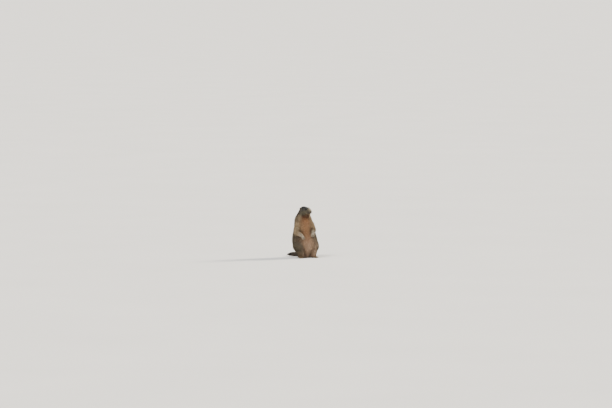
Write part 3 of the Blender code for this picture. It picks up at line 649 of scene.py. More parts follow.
@dataclass
class Skin:
    """One skin over all the flesh, which lies under the coat by the coat's depth.

    Its vertices carry the coat's fields: its sizes, the way that it lies, and its colours.
    """

    voxel: float = 1.3 * MM
    overlap: float = 0.35 * MM
    triangles: int = 108_000
    sink_steps: int = 4
    groove: float = 2.2 * MM
    # The front of the head, as far as its back and low end in the head's axes: where the triangles
    # stay fine, where they are split once more, and where the coat's borders stay sharp.
    fine_front: tuple[float, float] = (1.0, -3.8)
    split_front: tuple[float, float] = (-1.4, -4.2)
    split_half: float = 4.6
    sharp_front: tuple[float, float] = (0.5, -3.0)
    # How often the form, the coat's depth, its other sizes and its lie are evened out, and how far
    # one round goes at the sharp borders and elsewhere.
    form_rounds: int = 4
    depth_rounds: int = 60
    size_rounds: int = 40
    lie_rounds: int = 14
    sharp: float = 0.06
    soft: float = 0.5
    # Stretches over which one coat turns into another: along the head's Y for the muzzle and its Z for
    # the throat, from the eyeball, from the nose's middle, and past the wrist for hand and fingers.
    to_muzzle: tuple[float, float] = (0.5, -4.8)
    to_throat: tuple[float, float] = (-2.6, -4.8)
    from_eye: tuple[float, float] = (2 * MM, 11 * MM)
    from_nose: tuple[float, float] = (8 * MM, 15 * MM)
    to_hand: tuple[float, float] = (-52 * MM, 8 * MM)
    to_fingers: tuple[float, float] = (18 * MM, 30 * MM)
    finger_cut: float = 0.4
    hand_crowd: float = 1.4
    # The sole is the skin below this height that faces down by more than this.
    sole_height: float = 8 * MM
    sole_facing: float = -0.6
    # Rounds of evening out that show a fold, and the depths where it starts to count and counts fully.
    fine_fold: tuple[int, float, float] = (14, 0.1 * MM, 0.6 * MM)
    wide_fold: tuple[int, float, float] = (90, 0.6 * MM, 4.0 * MM)
    finger_gap: float = 1.7 * MM
    finger_reach: tuple[float, float] = (27 * MM, 15 * MM)
    # The fur beside the lips and in the folds of the paws, and where that of the lips ends.
    lip_fur: float = 2.4 * MM
    toe_fur: float = 2.2 * MM
    from_lips: tuple[float, float] = (1.5 * MM, 6 * MM)
    muzzle_back: float = -1.5
    # Bare skin ends this far from the lips, the nose's middle and the eyeball.
    bare_lips: tuple[float, float] = (0.5 * MM, 1.3 * MM)
    bare_nose: tuple[float, float] = (6.0 * MM, 7.6 * MM)
    bare_eye: tuple[float, float] = (0.3 * MM, 1.0 * MM)
    ear_bareness: float = 0.6
    # No tufts grow where the skin is barer than this.
    bald: float = 0.65
    mouth: Mouth = field(default_factory=Mouth)
    tail: TailCore = field(default_factory=TailCore)

    def build(self) -> None:
        """Makes the skin's mesh with its fields."""
        self.obj = self._melt()
        self._thin()
        self._refine_face()
        self.surface = Surface(self.obj.data)
        self.surface.smooth(self.form_rounds)
        self.parts = self._part_of(self.surface.points)
        self.outer = self.surface.points.copy()
        self.head = HEAD.local(self.outer)
        self._measure()
        self._find_folds()
        self._sink()
        self._sculpt_mouth()
        self._lay()
        self._colour()
        self._write()

    def _melt(self) -> bpy.types.Object:
        """Melts copies of the flesh solids and the tail's core into one closed surface.

        Returns:
            The skin's object.
        """
        shape = bmesh.new()
        for name in FLESH:
            part = merged_copy(name, self.overlap)
            mesh = bpy.data.meshes.new(name)
            part.to_mesh(mesh)
            part.free()
            shape.from_mesh(mesh)
            bpy.data.meshes.remove(mesh)
        self.tail.add_to(shape)
        mesh = bpy.data.meshes.new("skin")
        shape.to_mesh(mesh)
        shape.free()
        obj = new_object("skin", mesh)
        remesh = obj.modifiers.new("Melt", "REMESH")
        remesh.mode = "VOXEL"
        remesh.voxel_size = self.voxel
        settle(obj)
        return obj

    def _thin(self) -> None:
        """Leaves fine triangles on the head and paws, and larger ones under the long coat."""
        surface = Surface(self.obj.data)
        parts = self._part_of(surface.points)
        face = (parts == "head") & in_front(HEAD.local(surface.points), *self.fine_front)
        fine = np.isin(parts, ["ear", "forepaw"]) | face
        weights = np.where(fine, 0.0, np.where(parts == "hind_foot", 0.25, 1.0))
        weights = surface.spread(weights, 3)
        group = self.obj.vertex_groups.new(name="free")
        steps = 10
        for level in range(steps + 1):
            chosen = np.nonzero(np.round(weights * steps) == level)[0]
            group.add(chosen.tolist(), level / steps, "REPLACE")
        modifier = self.obj.modifiers.new("Fewer", "DECIMATE")
        modifier.ratio = self.triangles / len(surface.triangles)
        modifier.vertex_group = group.name
        modifier.vertex_group_factor = 1.0
        settle(self.obj)
        self.obj.vertex_groups.clear()

    def _refine_face(self) -> None:
        """Splits the edges round muzzle and eyes, where the finest folds are."""
        shape = bmesh.new()
        shape.from_mesh(self.obj.data)
        shape.verts.ensure_lookup_table()
        local = HEAD.local(np.array([vertex.co for vertex in shape.verts]))
        near = in_front(local, *self.split_front) & (np.abs(local[:, 0]) < self.split_half)
        edges = [edge for edge in shape.edges if all(near[vertex.index] for vertex in edge.verts)]
        bmesh.ops.subdivide_edges(shape, edges=edges, cuts=1, use_grid_fill=True)
        bmesh.ops.triangulate(shape, faces=shape.faces)
        shape.to_mesh(self.obj.data)
        shape.free()

    def _part_of(self, points: Array) -> Array:
        """Finds the part of the body that each point belongs to.

        Args:
            points: Places in metres, one a row.

        Returns:
            The part's name for each point, without its side.
        """
        corners, faces, owner = [], [], []
        for name in (*FLESH, "tail"):
            solid = Surface(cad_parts[name].data)
            faces += (solid.triangles + len(corners)).tolist()
            corners += solid.points.tolist()
            owner += [name.removesuffix("_left").removesuffix("_right")] * len(solid.triangles)
        tree = BVHTree.FromPolygons(corners, faces)
        return np.array(owner)[[tree.find_nearest(point)[2] for point in points.tolist()]]

    def _measure(self) -> None:
        """Finds depth, length, width, crowding and tip darkness of the coat at every vertex."""
        count = len(self.parts)
        sizes, crowd, tipping = np.zeros((count, 3)), np.zeros(count), np.zeros(count)
        for part, pelt in PELTS.items():
            chosen = self.parts == part
            sizes[chosen] = pelt.sizes()
            crowd[chosen], tipping[chosen] = pelt.crowd, pelt.tipping
        fine = (self.parts == "ear") | (self.parts == "head") & in_front(self.head, *self.sharp_front)
        wide = self.surface.spread(np.where(fine, 0.0, 1.0), 6)
        self.soften = self.sharp + (self.soft - self.sharp) * wide
        sizes = self._fit_arms(self._fit_head(sizes))
        facing = self.surface.normals()[:, 2]
        self.sole = (self.outer[:, 2] < self.sole_height) & (facing < self.sole_facing)
        sizes[self.sole, 0] = 0.0
        self.depth = self.surface.spread(sizes[:, 0], self.depth_rounds, self.soften) * MM
        self.depth[self.sole] = 0.0
        sizes = self.surface.spread(sizes, self.size_rounds, self.soften) * MM
        self.length, self.width = sizes[:, 1].copy(), sizes[:, 2].copy()
        self.tipping = self.surface.spread(tipping, self.size_rounds, self.soften)
        self.crowd = crowd * np.where(self.parts == "forearm", 1 + self.hand_crowd * self.hand, 1.0)

    def _fit_head(self, sizes: Array) -> Array:
        """Blends in the shorter coat of muzzle, eyes and nose, and the longer one of the throat.

        Args:
            sizes: Depth, length and width of the coat at every vertex, in millimetres.

        Returns:
            The new sizes.
        """
        _, y, z = self.head.T
        on_head = self.parts == "head"
        sizes = mix(sizes, MUZZLE_PELT.sizes(), np.where(on_head, ease(*self.to_muzzle, y), 0.0))
        sizes = mix(sizes, PELTS["neck"].sizes(), np.where(on_head, ease(*self.to_throat, z), 0.0))
        self.by_eye = np.zeros(len(self.parts))
        for side in SIDES:
            near = np.where(on_head, 1 - ease(*self.from_eye, eye_gap(side, self.outer)), 0.0)
            self.by_eye = np.maximum(self.by_eye, near)
            sizes = mix(sizes, EYE_PELT.sizes(), near)
        self.nose_gap = np.linalg.norm(self.outer - np.array(middle("nose")), axis=1)
        near = 1 - ease(*self.from_nose, self.nose_gap)
        sizes[:, :2] = mix(sizes[:, :2], NOSE_PELT, near)
        return sizes

    def _fit_arms(self, sizes: Array) -> Array:
        """Blends the forearm's coat into the hand's, and shortens it over the fingers.

        Args:
            sizes: Depth, length and width of the coat at every vertex, in millimetres.

        Returns:
            The new sizes.
        """
        self.hand = np.zeros(len(self.parts))
        fore = np.tile(PELTS["forearm"].sizes(), (len(self.parts), 1))
        for arm in ARMS:
            _, elbow, wrist, _ = arm.bends()
            along = (self.outer - wrist) @ unit(wrist - elbow)
            on_arm = np.isin(self.parts, ["forearm", "forepaw"]) & arm.beside(self.outer)
            hand = np.where(on_arm, ease(*self.to_hand, along), 0.0)
            fingers = np.where(on_arm, ease(*self.to_fingers, along), 0.0)
            here = mix(fore, PELTS["forepaw"].sizes(), hand) * (1 - self.finger_cut * fingers)[:, None]
            sizes = np.where(on_arm[:, None], here, sizes)
            self.hand = np.maximum(self.hand, hand)
        return sizes

    def _find_folds(self) -> None:
        """Finds how deep every vertex lies in a fine or wide fold, and shortens the paws' fur there."""
        on_paws = np.isin(self.parts, PAWS)
        self.grooves = self._between_fingers()
        self.fold = self._folds(*self.fine_fold) * np.where(on_paws, 1.5, 1.0)
        self.fold = np.maximum(self.fold, 1.3 * self.grooves)
        self.crease = self._folds(*self.wide_fold)
        self.length = mix(self.length, self.toe_fur, 0.7 * (on_paws * self.fold))

    def _between_fingers(self) -> Array:
        """How close every vertex lies to the middle between two fingers.

        Returns:
            One share for each vertex, from 0 to 1.
        """
        found = np.zeros(len(self.parts))
        for arm in ARMS:
            chosen = np.nonzero((self.parts == "forepaw") & arm.beside(self.outer))[0]
            points, wrist = self.outer[chosen], arm.bends()[2]
            claws = [np.array(middle(node)) for node, paw in claw_nodes() if paw == f"forepaw_{arm.side}"]
            gaps = np.sort([segment_distance(points, claw, wrist) for claw in claws], axis=0)
            reach = np.min([np.linalg.norm(points - claw, axis=1) for claw in claws], axis=0)
            between = bell(gaps[1] - gaps[0], self.finger_gap)
            found[chosen] = between * ease(*self.finger_reach, reach)
        return found

    def _folds(self, rounds: int, low: float, high: float) -> Array:
        """How deep every vertex lies in a fold of the body.

        Args:
            rounds: How far the form is evened out to compare it with itself.
            low: The depth in metres where a fold starts to count.
            high: The depth where it counts in full.

        Returns:
            One share for each vertex, from 0 to 1.
        """
        even = self.surface.spread(self.outer, rounds)
        depth = np.sum((even - self.outer) * self.surface.normals(), axis=1)
        return self.surface.spread(ease(low, high, depth), 2)

    def _sink(self) -> None:
        """Moves the skin in by the coat's depth, and further between the fingers."""
        for _ in range(self.sink_steps):
            inward = self.surface.spread(self.surface.normals(), 2)
            self.surface.points -= unit(inward) * (self.depth / self.sink_steps)[:, None]
            self.surface.smooth(1)
        self.surface.points -= self.surface.normals() * (self.groove * self.grooves)[:, None]
        self.surface.points[:, 2] = np.maximum(self.surface.points[:, 2], FLOOR / 2)

    def _sculpt_mouth(self) -> None:
        """Presses in the line of the lips and the cleft under the nose, and raises the lips."""
        near = np.nonzero((self.parts == "head") & (self.head[:, 1] < self.muzzle_back))[0]
        points = self.surface.points[near]
        push, gap = self.mouth.push(points, self.surface.tree())
        self.surface.points[near] = points + self.surface.normals()[near] * push[:, None]
        self.lip_gap = np.full(len(self.parts), 1.0)
        self.lip_gap[near] = gap
        self.length = mix(self.length, self.lip_fur, 1 - ease(*self.from_lips, self.lip_gap))

    def _lay(self) -> None:
        """The way that the coat lies at every vertex, along the skin."""
        lie = np.tile((0.0, 0.0, -1.0), (len(self.parts), 1))
        for arm in ARMS:
            shoulder, elbow, wrist, tip = arm.bends()
            ways = {
                "upper_arm": unit(elbow - shoulder),
                "forearm": unit(wrist - elbow),
                "forepaw": unit(tip - wrist),
                "hind_leg": unit(np.array((0.0, -0.35, -1.0))),
                "hind_foot": (SIDES[arm.side] * math.sin(TOE_OUT), -math.cos(TOE_OUT), -0.1),
            }
            for part, way in ways.items():
                lie[(self.parts == part) & arm.beside(self.outer)] = way
        on_tail = self.parts == "tail"
        lie[on_tail] = self.tail.nearest(self.outer[on_tail])[0]
        self._lay_head(lie)
        lie = self.surface.spread(lie, self.lie_rounds)
        normals = self.surface.normals()
        lie -= normals * np.sum(lie * normals, axis=1, keepdims=True)
        self.lie = unit(lie)

    def _lay_head(self, lie: Array) -> None:
        """Lays the coat of the head: back from the nose, round the eyes and up the ears.

        Args:
            lie: The way of the coat at every vertex, which is changed on the head and ears.
        """
        turn = np.array(HEAD.turn)
        on_head, on_ear = self.parts == "head", self.parts == "ear"
        _, y, z = self.head[on_head].T
        back = np.tile((0.0, 1.0, -0.2), (len(y), 1))
        down = np.array((0.0, 0.35, -1.0))
        ways = unit(mix(back, down, np.maximum(ease(0.5, 4.5, y), ease(-1.4, -3.6, z)))) @ turn.T
        for side in SIDES:
            away = self.outer[on_head] - np.array(middle(f"eye_{side}"))
            gap = np.linalg.norm(away, axis=1)
            ways = mix(ways, unit(away), 0.75 * (1 - ease(9 * MM, 16 * MM, gap)))
        lie[on_head] = unit(ways)
        out = self.head[on_ear] * (1.0, 0.3, 0.0) + (0.0, 0.0, 2.2)
        lie[on_ear] = unit(out) @ turn.T

    def _colour(self) -> None:
        """Colours of the coat at every vertex, and where the skin is bare."""
        self.pelage = Markings(self).tints()
        bare = 1 - ease(*self.bare_lips, self.lip_gap)
        bare = np.maximum(bare, 1 - ease(*self.bare_nose, self.nose_gap))
        for side in SIDES:
            gap = eye_gap(side, self.surface.points)
            bare = np.maximum(bare, 1 - ease(*self.bare_eye, gap))
        facing = self.surface.normals() @ np.array(HEAD.turn)
        in_cup = (self.parts == "ear") & (facing[:, 1] < -0.2)
        bare = np.maximum(bare, self.ear_bareness * in_cup)
        bare = np.maximum(bare, self.sole & (self.parts == "hind_foot"))
        self.bare = self.surface.spread(bare, 1)
        self.crowd = np.where((self.bare > self.bald) | self.sole, 0.0, self.crowd)

    def _write(self) -> None:
        """Puts the arrays back into the object's mesh, lighter where the fur is short."""
        mesh = mesh_from("skin", self.surface.points, self.surface.triangles)
        lit = 1 + 0.3 * ease(14 * MM, 5 * MM, self.length)
        write_colour(mesh, "pelage", self.pelage * lit[:, None])
        write_value(mesh, "bare", self.bare)
        mesh.materials.append(SkinFinish().material())
        self.obj.data = mesh
        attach(self.obj, "root")
        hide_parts(*FLESH, "tail")


class Markings:
    """The colours of the coat as a function of place, the same for skin and tufts.

    A marking eases in between two values: places in centimetres of the head's axes (x, y, z) or
    the body's (self.x, self.y, self.z), or degrees round the trunk from its front (self.round).
    """

    # How much painted shade darkens the coat in folds, in creases, under the forearms and round the eyes,
    # and how much its patches differ.
    FOLD_SHADE = 0.45
    CREASE_SHADE = 0.35
    ARM_SHADE = 0.56
    EYE_SHADE = 0.35
    PATCHY = 0.16
    SHAGGY_PARTS = ("upper_arm", "forearm", "torso", "hind_leg")

    def __init__(self, skin: Skin) -> None:
        """Takes the places and parts of the skin's vertices.

        Args:
            skin: The skin.
        """
        self.skin = skin
        self.points = skin.outer
        self.parts = skin.parts
        self.ones = np.ones((len(self.parts), 1))
        self.x, self.y, self.z = ((skin.outer - (0.0, AXIS_Y, 0.0)) / CM).T
        forward = -(self.y - 2.0)
        self.round = np.degrees(np.arctan2(np.abs(self.x), forward))
        # The rust-coloured front runs 7 degrees to the animal's right of its middle.
        self.off_front = np.abs(np.degrees(np.arctan2(self.x, forward)) + 7)

    def tints(self) -> Array:
        """Paints the whole coat, with painted shade in folds, creases, under the forearms and round the
        eyes.

        Returns:
            A linear colour for every vertex.
        """
        painters = {
            "head": self._head,
            "ear": self._ear,
            "neck": self._neck,
            "torso": self._torso,
            "upper_arm": self._upper_arm,
            "forearm": self._forearm,
            "forepaw": self._forearm,
            "hind_leg": self._hind_leg,
            "hind_foot": self._hind_foot,
            "tail": self._tail,
        }
        tints = np.zeros((len(self.parts), 3))
        for part, painter in painters.items():
            chosen = self.parts == part
            tints[chosen] = painter()[chosen]
        tints = self.skin.surface.spread(tints, 45, self.skin.soften)
        patchy = self.PATCHY * np.where(np.isin(self.parts, self.SHAGGY_PARTS), 1.0, 0.4)
        shade = 1 + patchy * self._mottle(3.2, 5)
        shade += patchy * self._mottle(1.4, 6)
        # Painted shade in fine folds, such as between the fingers and toes.
        shade *= 1 - self.FOLD_SHADE * self.skin.fold
        # Painted shade in wide creases, fading out near the floor.
        shade *= 1 - self.CREASE_SHADE * self.skin.crease * ease(3.0, 9.0, self.z)
        # Painted shadow of the forearms on the trunk.
        shade *= 1 - self.ARM_SHADE * self._arm_shadow()
        # Painted shade round the eyes, where the short fur shades itself less than the long coat does.
        shade *= 1 - self.EYE_SHADE * self.skin.by_eye
        return np.clip(tints * shade[:, None], 0.001, 1.0)

    def _mottle(self, scale: float, seed: int) -> Array:
        """Smooth noise over the vertices with waves of about a length in centimetres."""
        return mottle(self.points, scale * CM, seed)

    def _arm_shadow(self) -> Array:
        """How close every vertex of the trunk's side lies to a forearm, where the forearm's shadow is
        painted on its coat.

        Returns:
            One share for each vertex, from 0 to 1.
        """
        found = np.zeros(len(self.parts))
        for arm in ARMS:
            gap = segment_distance(self.points, *arm.bends()[1:3])
            found = np.maximum(found, 1 - ease(3.6 * CM, 6.2 * CM, gap))
        return self.skin.surface.spread(found * (self.parts == "torso") * ease(16, 42, self.off_front), 10)

    def _head(self) -> Array:
        """Dark crown and nape, grey cheeks, a pale bridge over the nose and a pale chin.

        Returns:
            A linear colour for every vertex.
        """
        x, y, z = self.skin.head.T
        ragged = 0.35 * self._mottle(1.3, 12)
        tint = Tint.CHEEK.linear * self.ones
        tint = Tint.BROW.over(tint, ease(-0.2, 1.2, z + ragged) * ease(-4.6, -2.0, y))
        tint = Tint.CROWN.over(tint, ease(0.7, 2.4, z + 0.18 * y + ragged))
        tint = Tint.NAPE.over(tint, ease(0.0, 2.4, y + ragged) * ease(-4.0, -0.5, z + 0.5 * y))
        # The front of the muzzle below the bridge, with painted shade round the mouth.
        tint = Tint.PAD.over(tint, ease(-3.6, -5.0, y) * ease(0.9, -0.3, z))
        bridge = ease(-4.0, -5.7, y + ragged) * ease(-0.3, 0.9, z)
        tint = Tint.SNOUT.over(tint, bridge * ease(2.4, 0.9, np.abs(x) + 0.5 * ragged))
        tint = Tint.CROWN.over(tint, 0.75 * self.skin.by_eye)
        tint = Tint.CHIN.over(tint, ease(-1.9, -2.3, z) * ease(-2.6, -4.0, y))
        # Below the chin the neck's colours take over, with the throat's painted shadow.
        return mix(tint, self._neck(), ease(-2.4, -3.8, z + ragged))

    def _ear(self) -> Array:
        """Grey-brown with a pale upper edge."""
        return Tint.CHIN.over(Tint.EAR.linear * self.ones, 0.7 * ease(2.2, 3.0, self.skin.head[:, 2]))

    def _neck(self) -> Array:
        """Brown throat with painted shadow under the chin, buff sides and a dark nape that narrows
        downwards.

        Returns:
            A linear colour for every vertex.
        """
        ragged = self.round + 9 * self._mottle(2.2, 13)
        # The throat's colour holds painted shadow under the chin.
        tint = Tint.COLLAR.over(Tint.THROAT.linear * self.ones, ease(40, 80, ragged))
        tint = Tint.CHEST.over(tint, ease(37.0, 34.4, self.z) * ease(66, 46, ragged))
        return Tint.NAPE.over(tint, 0.95 * ease(88, 118, ragged))

    def _torso(self) -> Array:
        """Grizzled back and flanks, buff shoulders and a narrow rust-coloured front.

        Returns:
            A linear colour for every vertex.
        """
        uneven = 8 * self._mottle(2.6, 11)
        ragged = self.round + uneven
        tint = Tint.BACK.over(Tint.FLANK.linear * self.ones, ease(85, 125, ragged))
        tint = Tint.HAUNCH.over(tint, 0.6 * ease(21, 15, self.z) * ease(120, 85, ragged))
        tint = Tint.NAPE.over(tint, 0.7 * ease(100, 145, ragged) * ease(22, 34, self.z))
        tint = Tint.SHOULDER.over(tint, ease(22, 31, self.z) * ease(108, 70, ragged))
        front = Tint.CHEST.over(Tint.BELLY.linear * self.ones, ease(12, 24, self.z))
        off = self.off_front + 0.7 * uneven
        wide = 23 + 4 * ease(20, 28, self.z) + 5 * ease(11, 4, self.z)
        sharp, faint = ease(wide + 12, wide - 12, off), 0.45 * ease(wide + 46, wide + 6, off)
        return mix(tint, front, np.maximum(sharp, faint))

    def _upper_arm(self) -> Array:
        """Buff, with a paler front and a darker back edge.

        Returns:
            A linear colour for every vertex.
        """
        pale = ease(-0.5, -3.0, self.y) * (0.5 + 0.3 * self._mottle(2.4, 24))
        tint = Tint.MANTLE.over(Tint.SHOULDER.linear * self.ones, np.clip(pale, 0, 1))
        return Tint.FLANK.over(tint, 0.8 * ease(1.0, 3.5, self.y))

    def _forearm(self) -> Array:
        """Buff that turns pale grey towards the hand.

        Returns:
            A linear colour for every vertex.
        """
        tint = Tint.PAW.over(Tint.FOREARM.linear * self.ones, self.skin.hand)
        blotch = 0.4 + 0.3 * self._mottle(2, 21) - 0.3 * self.skin.hand
        return Tint.SHOULDER.over(tint, np.clip(blotch, 0, 1))

    def _hind_leg(self) -> Array:
        """Dark haunch, buff shin, and an inner side in the belly's colour.

        Returns:
            A linear colour for every vertex.
        """
        ragged = 0.8 * self._mottle(2.4, 25)
        tint = Tint.FLANK.over(Tint.HAUNCH.linear * self.ones, 0.7 * ease(11.5, 16.0, self.z + ragged))
        tint = Tint.SHIN.over(tint, ease(8.0, 3.0, self.z + ragged) * ease(0.0, -6.0, self.y))
        inner = ease(8.5, 4.5, np.abs(self.x - 1.6) + ragged) * ease(3.0, -2.0, self.y)
        return Tint.BELLY.over(tint, 0.85 * inner)

    def _hind_foot(self) -> Array:
        """Tan, with darker toes.

        Returns:
            A linear colour for every vertex.
        """
        blotch = 0.45 + 0.3 * self._mottle(1.5, 23)
        tint = Tint.SHIN.over(Tint.FOOT.linear * self.ones, np.clip(blotch, 0, 1))
        return Tint.HAUNCH.over(tint, 0.4 * ease(-9.0, -11.5, self.y))

    def _tail(self) -> Array:
        """Brown at its root, then darker, with a black end.

        Returns:
            A linear colour for every vertex.
        """
        share = self.skin.tail.nearest(self.points)[1]
        tint = Tint.TAIL.over(Tint.FLANK.linear * self.ones, ease(0.02, 0.25, share))
        return Tint.TAIL_TIP.over(tint, ease(0.45, 0.8, share))


class Shading:
    """A material's node tree, built from plain calls."""

    def __init__(self, name: str) -> None:
        """Starts a material with a Principled shader.

        Args:
            name: Its name.
        """
        self.material = bpy.data.materials.new(name)
        self.material.use_nodes = True
        self.tree = self.material.node_tree
        self.shader = self.tree.nodes["Principled BSDF"]

    def node(self, kind: str, **inputs: object) -> bpy.types.Node:
        """Adds a node.

        Args:
            kind: The node's type.
            inputs: Its inputs, as feed takes them.

        Returns:
            The node.
        """
        node = self.tree.nodes.new(kind)
        self.feed(node, **inputs)
        return node

    def feed(self, node: bpy.types.Node, **inputs: object) -> None:
        """Sets or links a node's inputs.

        Args:
            node: The node.
            inputs: A number, a colour or another node's output socket, by the input's name with _
                for a space, or by n and its number.
        """
        for name, value in inputs.items():
            key = int(name[1:]) if name[0] == "n" and name[1:].isdigit() else name.replace("_", " ")
            if isinstance(value, bpy.types.NodeSocket):
                self.tree.links.new(value, node.inputs[key])
            else:
                node.inputs[key].default_value = value

    def finish(self, **inputs: object) -> None:
        """Sets or links the shader's inputs, as feed does."""
        self.feed(self.shader, **inputs)

    def attribute(self, name: str, output: str = "Fac") -> Socket:
        """Reads a value stored on the mesh.

        Args:
            name: The attribute's name.
            output: Fac for a number and Color for a colour.

        Returns:
            The socket that gives it.
        """
        node = self.node("ShaderNodeAttribute")
        node.attribute_name = name
        return node.outputs[output]

    def place(self) -> Socket:
        """The place on the object."""
        return self.node("ShaderNodeTexCoord").outputs["Object"]

    def noise(self, scale: float, detail: float = 3.0) -> Socket:
        """Soft noise from 0 to 1, with its scale in waves to the metre."""
        node = self.node("ShaderNodeTexNoise", Vector=self.place(), Scale=scale, Detail=detail)
        return node.outputs["Fac"]

    def cells(self, scale: float) -> Socket:
        """Round cells as the distance from their middles, with their scale in cells to the metre."""
        node = self.node("ShaderNodeTexVoronoi", Vector=self.place(), Scale=scale)
        return node.outputs["Distance"]

    def ramp(self, value: Socket, stops: Iterable[tuple[float, Sequence[float]]]) -> Socket:
        """Turns a value into a colour.

        Args:
            value: The value, from 0 to 1.
            stops: The places where a colour stands, and the colours.

        Returns:
            The colour's socket.
        """
        node = self.node("ShaderNodeValToRGB", Fac=value)
        line = node.color_ramp
        for number, (place, colour) in enumerate(stops):
            stop = line.elements[number] if number < 2 else line.elements.new(place)
            stop.position = place
            stop.color = (*colour, 1.0)
        return node.outputs["Color"]

    def scale(self, value: Socket, low: float, high: float) -> Socket:
        """Maps 0 to 1 onto low to high."""
        return self.node("ShaderNodeMapRange", Value=value, To_Min=low, To_Max=high).outputs["Result"]

    def blend(self, share: object, first: object, second: object, kind: str = "MIX") -> Socket:
        """Mixes two colours.

        Args:
            share: How much of the second is mixed in: a number or a socket.
            first: A colour or a socket.
            second: A colour or a socket.
            kind: How they are mixed.

        Returns:
            The colour's socket.
        """
        node = self.node("ShaderNodeMix")
        node.data_type = "RGBA"
        node.blend_type = kind
        # A Mix node's sockets for colours.
        self.feed(node, n0=share, n6=first, n7=second)
        return node.outputs[2]

    def product(self, first: Socket, second: Socket) -> Socket:
        """Multiplies two values.

        Args:
            first: One value.
            second: The other.

        Returns:
            The product's socket.
        """
        node = self.node("ShaderNodeMath")
        node.operation = "MULTIPLY"
        self.feed(node, n0=first, n1=second)
        return node.outputs["Value"]

    def times(self, colour: Socket, value: Socket) -> Socket:
        """Makes a colour brighter or darker by a value.

        Args:
            colour: The colour.
            value: What it is multiplied by.

        Returns:
            The new colour's socket.
        """
        node = self.node("ShaderNodeVectorMath")
        node.operation = "SCALE"
        self.feed(node, n0=colour, Scale=value)
        return node.outputs["Vector"]

    def bump(self, height: Socket, strength: float, distance: float) -> None:
        """Roughens the surface by a height."""
        node = self.node("ShaderNodeBump", Height=height, Strength=strength, Distance=distance)
        self.finish(Normal=node.outputs["Normal"])


@dataclass(frozen=True)
class FurFinish:
    """Tufts with dark roots, a paler band, and tips that are darkened where the coat has it."""

    name: str = "fur"
    roughness: float = 0.62
    gloss: float = 0.3
    root: float = 0.58
    middle: float = 0.92
    band: float = 1.2
    chance: tuple[float, float] = (0.74, 1.24)
    streak: tuple[float, float] = (0.86, 1.14)
    streaks: float = 140.0
    tip: tuple[float, float] = (0.62, 0.95)
    black: Triple = (0.012, 0.010, 0.009)

    def material(self) -> bpy.types.Material:
        """Makes the finish.

        Returns:
            The material.
        """
        made = Shading(self.name)
        along = made.attribute("along")
        greys = ((0.0, self.root), (0.45, self.middle), (0.75, self.band), (1.0, 1.0))
        shade = made.ramp(along, [(place, (grey,) * 3) for place, grey in greys])
        colour = made.blend(1.0, made.attribute("pelage", "Color"), shade, "MULTIPLY")
        colour = made.times(colour, made.scale(made.attribute("chance"), *self.chance))
        start, end = self.tip
        tip = made.node("ShaderNodeMapRange", Value=along, From_Min=start, From_Max=end).outputs["Result"]
        dark = made.product(tip, made.attribute("tipping"))
        colour = made.blend(dark, colour, (*self.black, 1.0))
        colour = made.times(colour, made.scale(made.noise(self.streaks), *self.streak))
        made.finish(Base_Color=colour, Roughness=self.roughness, Specular_IOR_Level=self.gloss)
        return made.material


@dataclass(frozen=True)
class SkinFinish:
    """Skin under the coat in the coat's colours, and bare dark skin on lips, lids and soles."""

    name: str = "skin"
    under: float = 0.6
    uneven: tuple[float, float] = (0.6, 1.4)
    roughness: float = 0.75
    bare_roughness: float = 0.45
    gloss: float = 0.3
    dark: Triple = (0.016, 0.012, 0.011)
    pale: Triple = (0.035, 0.026, 0.023)

    def material(self) -> bpy.types.Material:
        """Makes the finish.

        Returns:
            The material.
        """
        made = Shading(self.name)
        low, high = (self.under * share for share in self.uneven)
        down = made.times(made.attribute("pelage", "Color"), made.scale(made.noise(900.0, 4.0), low, high))
        bare = made.ramp(made.noise(420.0), [(0.3, self.dark), (0.7, self.pale)])
        mask = made.attribute("bare")
        made.finish(Base_Color=made.blend(mask, down, bare), Specular_IOR_Level=self.gloss)
        made.finish(Roughness=made.scale(mask, self.roughness, self.bare_roughness))
        made.bump(made.cells(1500.0), 0.5, 0.25 * MM)
        return made.material


@dataclass(frozen=True)
class EyeFinish:
    """A wet, almost black eye with a dark brown iris."""

    name: str = "eye"
    roughness: float = 0.05
    bend: float = 1.33
    gloss: float = 0.18
    pupil: Triple = (0.001, 0.001, 0.001)
    pupil_edge: Triple = (0.0015, 0.001, 0.001)
    iris: Triple = (0.010, 0.005, 0.003)
    iris_edge: Triple = (0.007, 0.0035, 0.002)
    white: Triple = (0.002, 0.0015, 0.0015)

    def material(self) -> bpy.types.Material:
        """Makes the finish.

        Returns:
            The material.
        """
        made = Shading(self.name)
        rings = (self.pupil, self.pupil_edge, self.iris, self.iris_edge, self.white)
        colour = made.ramp(made.attribute("gaze"), zip((0.0, 0.2, 0.26, 0.46, 0.52), rings))
        colour = made.times(colour, made.scale(made.noise(2600.0), 0.75, 1.3))
        made.finish(Base_Color=colour, Roughness=self.roughness, IOR=self.bend)
        made.finish(Specular_IOR_Level=self.gloss)
        return made.material


@dataclass(frozen=True)
class NoseFinish:
    """Moist black skin with fine round grains, and painted shade in the nostrils."""

    name: str = "nose"
    roughness: tuple[float, float] = (0.38, 0.55)
    gloss: float = 0.28
    dark: Triple = (0.007, 0.006, 0.006)
    pale: Triple = (0.022, 0.018, 0.017)
    # Near black, painted as the shade inside the nostrils.
    nostril_and_shade: Triple = (0.001, 0.001, 0.001)

    def material(self) -> bpy.types.Material:
        """Makes the finish.

        Returns:
            The material.
        """
        made = Shading(self.name)
        skin = made.ramp(made.noise(500.0), [(0.3, self.dark), (0.75, self.pale)])
        # The nostrils are painted near black as their shade.
        colour = made.blend(made.attribute("nostril_and_shade"), skin, (*self.nostril_and_shade, 1.0))
        made.finish(Base_Color=colour, Specular_IOR_Level=self.gloss)
        made.finish(Roughness=made.scale(made.noise(900.0), *self.roughness))
        made.bump(made.cells(1900.0), 0.45, 0.15 * MM)
        return made.material


